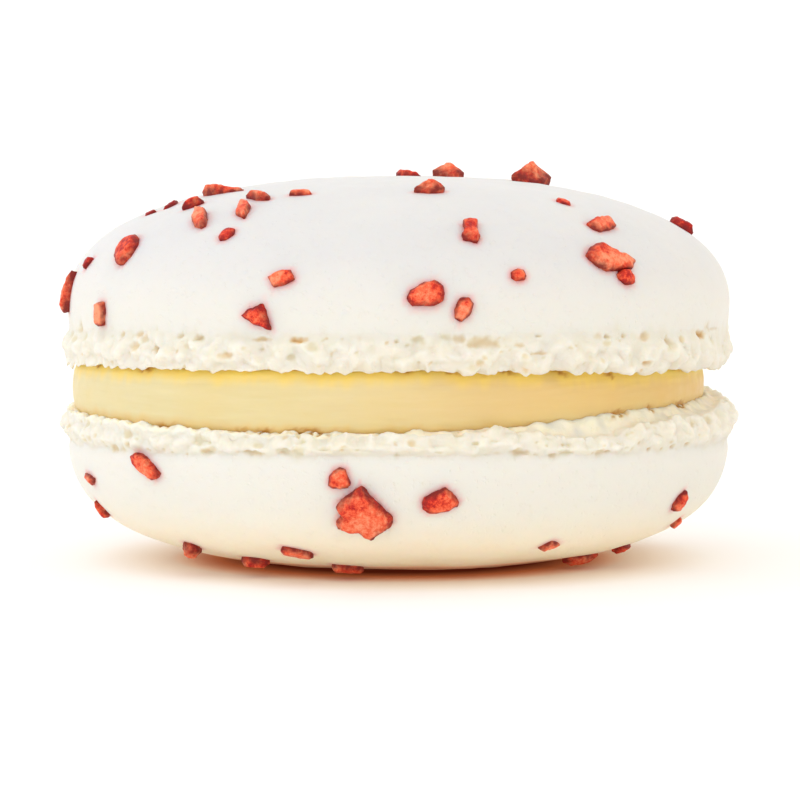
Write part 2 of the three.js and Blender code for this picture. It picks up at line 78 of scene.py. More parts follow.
# The waves of the cream's side, each as width, height and depth, and of the domes, as size and depth.
CREAM_WAVES = [(7, 3, 0.07), (3.5, 0.45, 0.025), (0.9, 0.3, 0.012)]
DOME_WAVES = [(8.0, 0.07), (2.6, 0.025)]
SEAT = SimpleNamespace(margin=0.3, wall=0.1, seam_pinch=0.12)

# Where the eye was when the crumbs were measured: the height on the axis that it looks at, its distance
# from there, how far it looks down, the stretch of a sight line that can meet a dome, and the least that a
# dome is taken to face the eye.
SIGHT = SimpleNamespace(
    height=10.5, distance=280, dip=math.radians(4), before=26, after=12, step=0.02, least_facing=0.15
)

# How uneven the corners of crumbs are: where many share an outline, and where it is one crumb's own.
ROUGH = 0.09
FINE = 0.02


def form_of(crest, uneven, outline, top=0.0, far=None):
    return SimpleNamespace(crest=crest, uneven=uneven, outline=outline, top=top, far=far)


# The outlines of crumbs, in half lengths along and half widths across, and how wide the top is. The tail's
# highest point is at its thick end, and past its middle its waist and shoulder are as low as far says.
FORMS = {
    "oval": form_of(0.6, ROUGH, [(math.cos(TURN * i / 7), math.sin(TURN * i / 7)) for i in range(7)]),
    "slab": form_of(0.78, ROUGH, [(-1, -0.85), (0.25, -1), (1, -0.75), (0.9, 0.8), (-0.1, 1), (-1, 0.75)]),
    "kite": form_of(0.6, ROUGH, [(-1, 0.05), (-0.1, -1), (0.75, -0.75), (1, 0), (0.35, 1), (-0.45, 0.7)]),
    "wedge": form_of(0.55, ROUGH, [(-1, 0.15), (-0.1, -0.55), (1, -1), (0.8, 0.1), (0.45, 1), (-0.35, 0.75)]),
    "drop": form_of(0.65, ROUGH, [(-1, 0.1), (-0.2, -0.75), (0.6, -1), (1, -0.3), (0.85, 0.6), (0.1, 0.8)]),
    "peak": form_of(0.25, ROUGH, [(-1, -0.5), (-0.1, -1), (0.7, -0.9), (1, -0.1), (0.4, 0.9), (-0.6, 0.8)]),
    "bar": form_of(0.78, FINE, [
        (-1, -0.35), (-0.7, -0.9), (0.1, -1), (0.85, -0.8), (1, -0.2), (0.9, 0.6), (0.3, 0.85), (-0.4, 1),
        (-0.9, 0.6),
    ]),
    "lens": form_of(0.66, FINE, [
        (-1, -0.3), (-0.8, -0.8), (-0.1, -1), (0.6, -0.85), (1, -0.3), (0.95, 0.35), (0.5, 0.9), (-0.2, 1),
        (-0.75, 0.6),
    ]),
    "gem": form_of(0.72, FINE, [
        (-1, -0.2), (-0.92, -0.66), (-0.65, -1), (0.35, -0.83), (0.88, -0.43), (1, -0.08), (0.6, 0.6),
        (0.27, 1), (-0.47, 0.5), (-0.88, 0.2),
    ]),
    "lump": form_of(0.7, FINE, [
        (-1, -0.61), (-0.67, -0.92), (0.13, -1), (0.73, -0.9), (1, -0.54), (0.8, 0.1), (0.53, 0.85),
        (0, 1), (-0.5, 0.74), (-0.87, 0.17),
    ]),
    "toe": form_of(0.74, FINE, [
        (-1, -0.42), (-0.7, -1), (-0.1, -1), (0.58, -0.95), (0.9, -0.6), (1, 0), (0.91, 0.58),
        (0.47, 1), (0.05, 0.88), (-0.31, 0.64), (-0.81, 0.25),
    ]),
    "bean": form_of(0.76, FINE, [
        (-0.95, -0.41), (-0.71, -0.7), (-0.3, -0.95), (0.08, -1), (0.42, -0.61), (1, 0), (1, 0.7),
        (0.63, 0.97), (0.21, 0.76), (-0.19, 0.95), (-0.66, 1), (-0.95, 0.29),
    ]),
    "rhomb": form_of(0.7, FINE, [
        (-1, 0.07), (-0.58, -0.6), (-0.1, -1), (0.53, -0.71), (1, -0.27), (0.8, 0.29), (0.46, 1),
        (-0.58, 0.62),
    ]),
    "plug": form_of(0.78, FINE, [
        (-1, -0.72), (-0.56, -1), (0.02, -0.67), (0.92, -0.72), (1, 0.15), (0.92, 0.91), (0.02, 0.65),
        (-0.39, 1), (-0.72, 0.74), (-0.84, 0.04),
    ]),
    "tail": form_of(0.74, FINE, [
        (-1, -0.73), (-0.6, -0.97), (-0.07, -0.63), (0.4, -0.35), (0.8, -0.2), (1, 0.1), (0.87, 0.55),
        (0.4, 0.55), (-0.07, 0.45), (-0.44, 1), (-0.86, 0.1),
    ], top=-0.45, far=SimpleNamespace(waist=0.28, shoulder=0.45)),
    "shard": form_of(0.78, FINE, [
        (-0.98, 0.3), (-0.75, 0.04), (-0.92, -0.3), (-0.9, -0.58), (-0.4, -0.71), (-0.09, -0.7),
        (0.26, -1), (0.64, -0.67), (0.96, -0.45), (1, -0.15), (0.8, 0.05), (0.36, 0.52), (-0.09, 1),
        (-0.5, 0.72),
    ]),
}

# The crumbs that show from the front, each as across, up, length, width, spin, height, form and tone. Across
# and up are where its middle is seen, from the axis and from the table. Spin is from level, in degrees,
# height is how far it stands out, and tone goes from 0, dark red, to 1, pale coral.
UPPER_CRUMBS = [
    (-11.7, 24.3, 2.8, 0.9, 3, 0.65, "tail", 0.9),
    (-9.3, 23.9, 1.65, 0.95, 0, 0.6, "kite", 0.75),
    (-6.5, 24.2, 1.45, 0.55, 3, 0.35, "slab", 0.85),
    (-13.7, 23.4, 1.65, 0.85, 22, 0.6, "drop", 0.3),
    (-13.2, 22.5, 2.1, 1.1, 82, 0.6, "bar", 1.0),
    (-10.3, 23.1, 1.55, 1.15, 62, 0.5, "slab", 0.7),
    (-11.4, 21.5, 1.25, 0.8, 28, 0.35, "oval", 0.25),
    (-18.1, 20.5, 2.25, 1.8, 50, 0.5, "lens", 0.65),
    (-15.2, 23.4, 1.2, 0.6, 28, 0.25, "drop", 0.0),
    (-16.5, 22.9, 0.8, 0.5, 22, 0.2, "slab", 0.0),
    (-20.6, 19.6, 0.9, 0.5, 52, 0.35, "slab", 0.1),
    (-21.9, 17.7, 3.0, 1.1, 258, 0.55, "drop", 0.7),
    (-19.8, 16.3, 1.6, 0.75, 87, 0.4, "slab", 1.0),
    (-7.7, 18.6, 1.6, 0.85, 18, 0.45, "slab", 0.75),
    (-9.5, 16.0, 1.9, 1.7, 0, 0.6, "wedge", 0.3),
    (0.7, 25.7, 1.85, 0.8, 172, 0.4, "drop", 0.2),
    (3.4, 25.6, 2.2, 1.0, -6, 0.95, "peak", 0.95),
    (2.1, 24.4, 2.05, 1.0, 0, 0.85, "peak", 0.8),
    (8.8, 25.0, 2.85, 1.6, 0, 1.4, "peak", 0.7),
    (11.0, 23.6, 1.0, 0.45, -18, 0.25, "slab", 0.6),
    (4.8, 21.7, 1.65, 1.2, 90, 0.5, "plug", 0.55),
    (13.5, 22.1, 1.95, 1.5, 0, 0.5, "rhomb", 0.65),
    (14.0, 19.8, 3.1, 1.45, -22, 0.6, "bean", 0.8),
    (15.1, 18.7, 1.3, 0.9, -38, 0.5, "oval", 0.6),
    (19.0, 22.0, 1.9, 0.85, 148, 0.6, "drop", 0.25),
    (8.0, 18.8, 1.05, 0.8, 0, 0.4, "oval", 0.7),
    (1.8, 17.6, 2.4, 1.6, 0, 0.6, "toe", 0.6),
    (4.3, 16.6, 1.75, 1.15, 66, 0.55, "oval", 0.65),
]
LOWER_CRUMBS = [
    (-16.8, 6.1, 2.25, 0.9, -42, 0.45, "bar", 0.6),
    (-20.5, 5.3, 1.2, 0.8, -45, 0.35, "wedge", 1.0),
    (-19.7, 3.3, 1.5, 0.7, -48, 0.45, "drop", 0.5),
    (-13.7, 0.75, 1.35, 1.2, -20, 0.8, "oval", 0.8),
    (-9.5, -0.1, 2.0, 0.8, -5, 0.6, "kite", 0.85),
    (-6.7, 0.4, 2.1, 0.65, -10, 0.4, "slab", 0.75),
    (-3.9, 5.3, 1.45, 1.35, 0, 0.5, "lump", 0.75),
    (-2.3, 3.0, 3.7, 3.35, 0, 0.85, "shard", 0.6),
    (-3.3, -0.6, 2.1, 0.8, -5, 0.45, "slab", 1.0),
    (2.8, 3.85, 2.35, 1.65, 0, 0.6, "gem", 0.4),
    (10.0, 0.9, 1.35, 0.75, 20, 0.4, "wedge", 0.85),
    (12.4, -0.2, 2.6, 0.9, 8, 0.55, "kite", 0.75),
    (15.2, 0.5, 1.4, 0.7, 18, 0.4, "wedge", 0.65),
    (18.7, 3.8, 1.65, 0.95, 238, 0.5, "drop", 0.5),
    (18.5, 2.4, 0.9, 0.45, 38, 0.3, "slab", 0.65),
]
# The crumbs of the far side are scattered by a rule: how many on each dome and between which shares of its
# outline, between which bearings and how far off even spacing, their forms, their lengths and how rare the
# long ones are, their widths by length and heights by width, each as least and spread, and their tones.
FAR_CRUMBS = SimpleNamespace(
    upper=(24, 0.03, 0.67),
    lower=(14, 0.16, 0.6),
    first_bearing=16,
    last_bearing=164,
    forms=["oval", "slab", "kite", "wedge", "drop"],
    shortest=0.9,
    longest=2.9,
    jitter=0.1,
    rarity=1.6,
    width=(0.5, 0.4),
    height=(0.35, 0.2),
    darkest=0.15,
    palest=0.9,
)
CRUMB = SimpleNamespace(
    sunk=0.35,
    floor_gap=0.05,
    longest_aslant=1.5,
    foot=0.9,
    waist_lowest=0.15,
    waist_range=0.3,
    shoulder=0.88,
    slope=0.12,
)
GOLDEN_SHARE = (math.sqrt(5) - 1) / 2

# Hollows of a foot that the photo shows, each as across, share of the foot's height from its rim, half
# width, half height, depth and how browned it is.
UPPER_HOLLOWS = [
    (-20.9, 0.95, 0.5, 0.35, 0.25, 0.15),
    (-15.3, 0.5, 0.45, 0.25, 0.3, 0.25),
    (-13.8, 0.88, 0.3, 0.2, 0.25, 0.1),
    (-12.6, 0.82, 0.35, 0.2, 0.3, 0.15),
    (-8.5, 0.8, 0.6, 0.16, 0.2, 0.3),
    (-6.2, 0.8, 0.62, 0.2, 0.22, 0.6),
    (-0.1, 0.78, 0.2, 0.12, 0.2, 0.15),
    (1.3, 0.8, 0.45, 0.3, 0.2, 0.05),
    (5.2, 0.76, 1.2, 0.42, 0.16, 0.22),
    (8.7, 0.5, 0.6, 0.12, 0.1, 0.25),
    (8.8, 0.9, 0.25, 0.12, 0.2, 0.1),
    (13.2, 0.86, 0.25, 0.14, 0.25, 0.15),
    (14.3, 0.88, 0.2, 0.12, 0.2, 0.15),
    (15.6, 0.86, 0.55, 0.32, 0.14, 0.25),
    (15.7, 0.22, 0.4, 0.2, 0.3, 0.4),
    (17.2, 0.75, 0.3, 0.2, 0.14, 0.1),
    (19.6, 0.86, 0.6, 0.3, 0.35, 0.75),
    (20.8, 1.0, 2.0, 0.22, 0.3, 0.5),
]
LOWER_HOLLOWS = [
    (-17.2, 0.72, 0.35, 0.25, 0.25, 0.1),
    (-12.0, 0.9, 0.55, 0.22, 0.25, 0.1),
    (-9.2, 0.85, 0.9, 0.2, 0.25, 0.15),
    (-7.3, 0.9, 0.3, 0.2, 0.25, 0.1),
    (-0.1, 0.95, 0.25, 0.12, 0.2, 0.1),
    (7.6, 0.85, 0.7, 0.25, 0.25, 0.15),
    (9.7, 0.95, 0.3, 0.14, 0.2, 0.1),
    (13.2, 0.85, 0.25, 0.2, 0.25, 0.15),
    (16.0, 0.85, 0.14, 0.12, 0.25, 0.4),
    (17.6, 0.85, 0.2, 0.12, 0.25, 0.3),
    (18.6, 0.8, 0.3, 0.14, 0.25, 0.2),
]
# Where a dark gap shows between the cream and the rim of a foot, brown and painted with shade: across, and
# half width.
UPPER_GAPS = [
    (-19.2, 0.4), (-15.8, 0.7), (0.4, 0.5), (2.9, 1.0), (6.5, 0.9), (10.2, 1.1), (13.8, 0.5), (19.1, 0.45),
]
LOWER_GAPS = [
    (-14.4, 0.7), (-9.7, 0.45), (-8.2, 0.5), (-5.5, 1.2), (14.2, 0.9), (16.5, 0.4), (18.8, 0.9),
]

# How fine the surfaces are: columns round a foot, rows under it, up its wall and up to the dome's first
# ring, which is at a share of the quarter turn, and the spacing of the dome's rings.
COLUMNS = 1280
UNDER_ROWS = 12
WALL_ROWS = 24
SKIRT_ROWS = 5
DOME_START = 0.075
DOME_STEP = 0.3
CREAM_COLUMNS = 640
CREAM_ROWS = 36
STAIN_REACH = 0.21


def draws(seed):
    """A seeded draw of numbers from 0 to 1."""
    state = seed % 2**32
    while True:
        state = (state * 1664525 + 1013904223) % 2**32
        yield state / 2**32


class Simplex:
    """Simplex noise in space, the same that the frame's ruffles are made with."""

    GRADIENTS = np.array(
        [(1, 1, 0), (-1, 1, 0), (1, -1, 0), (-1, -1, 0), (1, 0, 1), (-1, 0, 1)]
        + [(1, 0, -1), (-1, 0, -1), (0, 1, 1), (0, -1, 1), (0, 1, -1), (0, -1, -1)]
    )

    def __init__(self, seed):
        random = draws(seed)
        self.table = np.array([int(next(random) * 256) for _ in range(256)])

    def __call__(self, x, y, z):
        point = np.stack(np.broadcast_arrays(x, y, z), -1).astype(float)
        cell = np.floor(point + point.sum(-1, keepdims=True) / 3).astype(int)
        start = point - cell + cell.sum(-1, keepdims=True) / 6
        xy = start[..., 0] >= start[..., 1]
        yz = start[..., 1] >= start[..., 2]
        xz = start[..., 0] >= start[..., 2]
        second = np.stack([xy & xz, ~xy & yz, ~xz & ~yz], -1)
        third = np.stack([xy | xz, ~xy | yz, ~xz | ~yz], -1)
        total = 0
        for k, corner in enumerate([second & False, second, third, second | True]):
            away = start - corner + k / 6
            i, j, m = np.moveaxis(cell + corner, -1, 0)
            hashed = self.table[(i + self.table[(j + self.table[m & 255]) & 255]) & 255]
            near = np.maximum(0, 0.6 - (away**2).sum(-1))
            total = total + near**4 * (self.GRADIENTS[hashed % 12] * away).sum(-1)
        return 32 * total

    def billows(self, points, size, flat=1.0):
        """Rounded humps with creases between them, from 0 to about 1, flat times as wide as tall."""
        x, y, z = np.moveaxis(points, -1, 0) / size
        return np.sqrt(self(x, y, z * flat) ** 2 + 0.008)

    def grain(self, points, size):
        x, y, z = np.moveaxis(points, -1, 0) / size
        return self(x, y, z)


def smooth(low, high, value):
    share = np.clip((value - low) / (high - low), 0, 1)
    return share * share * (3 - 2 * share)


def plane_z(plane, x, y):
    return plane[0] + plane[1] * x + plane[2] * y


def swell(swells, bearing):
    total = 0 * bearing
    for at, half_width, height in swells:
        off = bearing - math.radians(at)
        turned = np.arctan2(np.sin(off), np.cos(off))
        total = total + height * np.exp(-((turned / math.radians(half_width)) ** 2))
    return total


def at_bearing(bearing, radius, z):
    x = radius * np.cos(bearing)
    return np.stack(np.broadcast_arrays(x, radius * np.sin(bearing), z), -1)


def on_plane(plane, bearing, radius, offset=0.0):
    x, y = radius * np.cos(bearing), radius * np.sin(bearing)
    return at_bearing(bearing, radius, plane_z(plane, x, y) + offset)


def round_bearings(count):
    return TURN * np.arange(count) / count


# The shells' own shape, as the frame has it.


def wall_noise(shell, noise, bearing, height, size):
    reach = shell.foot_radius / size
    return noise(reach * np.cos(bearing), reach * np.sin(bearing), height / size)


def cream_reach(bearing):
    aside = CREAM.right * np.sin(bearing)
    reach = np.sqrt(CREAM.radius**2 - aside**2) + CREAM.waver * np.sin(3 * bearing + 1)
    return CREAM.right * np.cos(bearing) + reach


def seat_radius(bearing):
    return cream_reach(bearing) + SEAT.margin


def foot_wall(shell, noise, bearing, height):
    tucked = RUFFLES.tucked_rim * np.maximum(0, 1 - height) ** 2
    large = wall_noise(shell, noise, bearing, height, RUFFLES.large)
    lumps = large + 0.6 * wall_noise(shell, noise, bearing, height, RUFFLES.small)
    radius = shell.foot_radius + swell(shell.foot_swells, bearing) - tucked + RUFFLES.depth * lumps
    return np.maximum(radius, seat_radius(bearing) + SEAT.wall)


def lip_height(shell, noise, bearing):
    broad = wall_noise(shell, noise, bearing, 20, 1.6 * RUFFLES.large)
    ragged = broad + 0.6 * wall_noise(shell, noise, bearing, 40, RUFFLES.small)
    height = shell.lip_height + swell(shell.lip_swells, bearing) + shell.lip_ragged * ragged
    room = (foot_wall(shell, noise, bearing, 0) - seat_radius(bearing)) / 0.6
    return np.where(height > 0, height * np.minimum(1, room), height)


def dome_at_rise(shell, rise):
    inside = 1 - (np.maximum(rise, 0) / shell.dome_height) ** shell.roundness
    return shell.dome_radius * np.maximum(inside, 0) ** (1 / shell.roundness)


def dome_outline(shell, share):
    power = 2 / shell.roundness
    angle = np.asarray(share) * math.pi / 2
    radius = shell.dome_radius * np.cos(angle) ** power
    return radius, shell.dome_height * np.sin(angle) ** power


def outside_dome(shell, point):
    plane = plane_z(shell.widest, point[0], point[1])
    rise = max(0, shell.up * (point[2] - plane))
    radius = math.hypot(point[0], point[1])
    sides = (radius / shell.dome_radius) ** shell.roundness
    reach = sides + (rise / shell.dome_height) ** shell.roundness - 1
    return SimpleNamespace(reach=reach, plane=plane, rise=rise, radius=radius, point=point)


def onto_dome(shell, found):
    """The nearest point of the dome along its own growth, and the dome's normal there."""
    n = shell.roundness
    shrink = (found.reach + 1) ** (-1 / n)
    sideways = (found.radius * shrink / shell.dome_radius) ** (n - 1) / shell.dome_radius
    upwards = (found.rise * shrink / shell.dome_height) ** (n - 1) / shell.dome_height
    x, y, z = found.point
    if found.rise > 0:
        z = found.plane + shell.up * found.rise * shrink
    normal = Vector((sideways * x / found.radius, sideways * y / found.radius, shell.up * upwards))
    return Vector((x * shrink, y * shrink, z)), normal.normalized()


# The crumbs' places and outlines, as the frame has them.


def crumb_at(point, normal, along, across, height, form, tone):
    crumb = SimpleNamespace(point=point, normal=normal, along=along, across=across)
    crumb.height, crumb.form, crumb.tone = height, form, tone
    return crumb


def seen_crumb(shell, row):
    across, up, length, width, spin, height, form, tone = row
    right = Vector((1, 0, 0))
    forward = Vector((0, math.cos(SIGHT.dip), -math.sin(SIGHT.dip)))
    upward = Vector((0, math.sin(SIGHT.dip), math.cos(SIGHT.dip)))
    aim = Vector((0, 0, SIGHT.height))
    eye = aim - SIGHT.distance * forward
    way = (aim + across * right + (up - SIGHT.height) * upward - eye).normalized()
    best = SimpleNamespace(reach=math.inf)
    t = SIGHT.distance - SIGHT.before
    while t < SIGHT.distance + SIGHT.after and best.reach > 0:
        found = outside_dome(shell, eye + t * way)
        if found.reach < best.reach:
            best = found
        t += SIGHT.step
    point, normal = onto_dome(shell, best)
    facing = min(way.dot(normal), -SIGHT.least_facing)

    def laid(turn, half):
        seen = math.cos(turn) * right + math.sin(turn) * upward
        flat = seen - way * (seen.dot(normal) / facing)
        return flat.normalized() * min(flat.length, CRUMB.longest_aslant) * half

    turn = math.radians(spin)
    along, sideways = laid(turn, length / 2), laid(turn + math.pi / 2, width / 2)
    return crumb_at(point, normal, along, sideways, height, form, tone)


def far_crumbs(shell):
    count, first_share, last_share = getattr(FAR_CRUMBS, shell.name)
    random = draws(shell.seed * 7 + 1)
    tones = draws(shell.seed * 13 + 3)
    crumbs = []
    for i in range(count):
        turned = (i * GOLDEN_SHARE + FAR_CRUMBS.jitter * next(random)) % 1
        span = FAR_CRUMBS.last_bearing - FAR_CRUMBS.first_bearing
        bearing = math.radians(FAR_CRUMBS.first_bearing + turned * span)
        share = first_share + (last_share - first_share) * (i + next(random)) / count
        spread = FAR_CRUMBS.longest / FAR_CRUMBS.shortest
        length = FAR_CRUMBS.shortest * spread ** (next(random) ** FAR_CRUMBS.rarity)
        width = length * (FAR_CRUMBS.width[0] + FAR_CRUMBS.width[1] * next(random))
        spin = TURN * next(random)
        form = FAR_CRUMBS.forms[int(len(FAR_CRUMBS.forms) * next(random))]
        height = width * (FAR_CRUMBS.height[0] + FAR_CRUMBS.height[1] * next(random))
        radius, rise = dome_outline(shell, share)
        x, y = radius * math.cos(bearing), radius * math.sin(bearing)
        on_dome = Vector((x, y, plane_z(shell.widest, x, y) + shell.up * rise))
        point, normal = onto_dome(shell, outside_dome(shell, on_dome))
        level = Vector((-normal.y, normal.x, 0)).normalized()
        climb = normal.cross(level)
        along = (level * math.cos(spin) + climb * math.sin(spin)) * length / 2
        across = (climb * math.cos(spin) - level * math.sin(spin)) * width / 2
        tone = FAR_CRUMBS.darkest + (FAR_CRUMBS.palest - FAR_CRUMBS.darkest) * next(tones)
        crumbs.append(crumb_at(point, normal, along, across, height, form, tone))
    return crumbs


def corners_of(crumb, seed):
    """The crumb's corners, uneven by the same draws as the frame's."""
    random = draws(seed * 97 + 5)
    slope = TURN * next(random)
    corners = []
    form = FORMS[crumb.form]
    for a, b in form.outline:
        corner = SimpleNamespace(a=a + form.uneven * (2 * next(random) - 1))
        corner.b = b + form.uneven * (2 * next(random) - 1)
        corner.waist = CRUMB.waist_lowest + CRUMB.waist_range * next(random)
        corner.shoulder = CRUMB.shoulder + CRUMB.slope * math.cos(math.atan2(b, a) - slope)
        if form.far and a > 0:
            corner.waist = form.far.waist
            corner.shoulder = form.far.shoulder
        corners.append(corner)
    return corners


def crumbs_of(shell, rows):
    crumbs = [seen_crumb(shell, row) for row in rows] + far_crumbs(shell)
    for i, crumb in enumerate(crumbs):
        crumb.corners = corners_of(crumb, shell.seed + i)
    return crumbs


# Surfaces made of rings. A ring is its points and, for each point, its marks, which the materials read:
# on a shell how much it is foot, hollow, brown and painted shade, cream-tinted and lifted by painted light,
# given painted light and shade by height, near the table (painted light and shadow) and stained by a crumb.


def stitch(rings):
    """Vertices, faces and marks of a closed surface through rings from the bottom to the top. A ring has
    as many points as its neighbour, twice or half as many, or one, as at the two ends."""
    faces = []
    start = 0
    for (low, _), (high, _) in zip(rings, rings[1:]):
        a, b = len(low), len(high)
        i = np.arange(max(a, b))
        above = start + a
        if a == 1:
            faces += np.stack([0 * i + start, above + (i + 1) % b, above + i], -1).tolist()
        elif b == 1:
            faces += np.stack([start + i, start + (i + 1) % a, 0 * i + above], -1).tolist()
        elif a == b:
            nxt = (i + 1) % a
            faces += np.stack([start + i, start + nxt, above + nxt, above + i], -1).tolist()
        else:
            fine, coarse = (start, above) if a > b else (above, start)
            k = np.arange(min(a, b))
            one, two, three = fine + 2 * k, fine + 2 * k + 1, fine + (2 * k + 2) % max(a, b)
            first, second = coarse + k, coarse + (k + 1) % min(a, b)
            for corners in [(one, two, first), (two, second, first), (two, three, second)]:
                faces += np.stack(corners if a > b else corners[::-1], -1).tolist()
        start += a
    vertices = np.concatenate([points for points, _ in rings])
    marks = np.concatenate([ring_marks for _, ring_marks in rings])
    return vertices, faces, marks


SHELL_MARKS = ["foot", "hollow", "browned", "cream_smear_and_light", "painted_warm_light", "under", "stain"]
CREAM_MARKS = ["deep", "toasted", "browned"]
CRUMB_MARKS = ["rim", "tone"]


def mark_ring(names, points, **given):
    marks = np.zeros((len(points), len(names)))
    for name, value in given.items():
        marks[:, names.index(name)] = value
    return points, marks


def grid_normals(grid):
    """The normals of a grid of rows of points that go round the axis, pointing away from the rows' left."""
    around = np.roll(grid, -1, 1) - np.roll(grid, 1, 1)
    along = np.gradient(grid, axis=0)
    normal = np.cross(around, along)
    return normal / np.maximum(np.linalg.norm(normal, axis=-1, keepdims=True), 1e-9)


def front_bearing(across, radius):
    """The bearing of the point of a round wall that faces the front, across mm from the axis."""
    return -math.acos(max(-1, min(1, across / radius)))


def turned(bearing, start):
    """How far each bearing is from the start, from minus to plus half a turn."""
    return np.arctan2(np.sin(bearing - start), np.cos(bearing - start))


def gap_share(gaps, bearing, radius):
    """Where a round wall has its gaps: 1 in their middle, 0 away from them."""
    total = 0 * bearing
    for across, half_width in gaps:
        off = turned(bearing, front_bearing(across, radius)) * radius
        total = total + np.exp(-((off / half_width) ** 2))
    return np.minimum(total, 1)


def rim_of(shell, bearing, gaps):
    """The ragged rim of a foot."""
    noise, foam = Simplex(shell.seed), Simplex(shell.seed + 100)
    teeth = sum(
        depth * (foam.billows(at_bearing(bearing, shell.foot_radius, 50), size) - FOAM.mean)
        for size, depth in FOAM.teeth
    )
    past = lip_height(shell, noise, bearing) + teeth
    past = past - FOAM.gap_depth * gap_share(gaps, bearing, shell.foot_radius)
    return on_plane(shell.base, bearing, foot_wall(shell, noise, bearing, 0), -shell.up * past)


def climb_of(shell, bearing, points):
    """How far the foam comes up the side of the cream, and how raggedly, at points at the bearings."""
    if not shell.climbs:
        return 0 * bearing
    foam = Simplex(shell.seed + 200)
    ragged = 0.3 * foam.billows(points, 2.1) + 0.08 * foam.billows(points, 0.9)
    from_cream = np.hypot(points[:, 0], points[:, 1]) - cream_reach(bearing)
    broad = swell(shell.climbs, bearing) * smooth(FOAM.climb_reach, 0, from_cream)
    return broad + ragged * smooth(FOAM.ragged_reach, 0, from_cream)


def foot_hollows(shell, named):
    """The hollows in a foot, as bearing, share of its height, half width, half height, depth and brown:
    those that the photo shows, and small ones scattered all round."""
    hollows = [(front_bearing(row[0], shell.foot_radius), *row[1:]) for row in named]
    random = draws(shell.seed * 31 + 7)
    for i in range(FOAM.hollows):
        bearing = TURN * ((i * GOLDEN_SHARE + 0.2 * next(random)) % 1)
        share = next(random) ** 0.8
        half_width = FOAM.smallest * (FOAM.largest / FOAM.smallest) ** (next(random) ** 2.2)
        half_height = half_width * (0.45 + 0.4 * next(random))
        depth = 0.05 + 0.35 * half_width * next(random)
        browned = 0.3 * next(random) ** 3
        hollows.append((bearing, share, half_width, half_height, depth, browned))
    return hollows


# The foam of the feet: sizes and depths of its humps and its grain, the humps' mean height, how far its edge
# with the smooth skin wanders, how many hollows each foot has and how wide they are, how ragged the rim is,
# how far the rim draws back at a gap and the foam in a cranny there, how deep the step at the smooth skin
# is, how far the foam goes on under the cream, and how far from the cream it climbs and is ragged.
FOAM = SimpleNamespace(
    humps=[(2.2, 0.2), (1.0, 0.08), (0.45, 0.018)],
    grain=(0.25, 0.006),
    mean=0.3,
    wander=0.1,
    hollows=210,
    smallest=0.12,
    largest=0.6,
    teeth=[(3.6, 0.2), (1.7, 0.26), (0.75, 0.12)],
    gap_depth=0.12,
    cranny_depth=0.14,
    step=0.03,
    under_cream=0.5,
    climb_reach=0.9,
    ragged_reach=0.6,
)


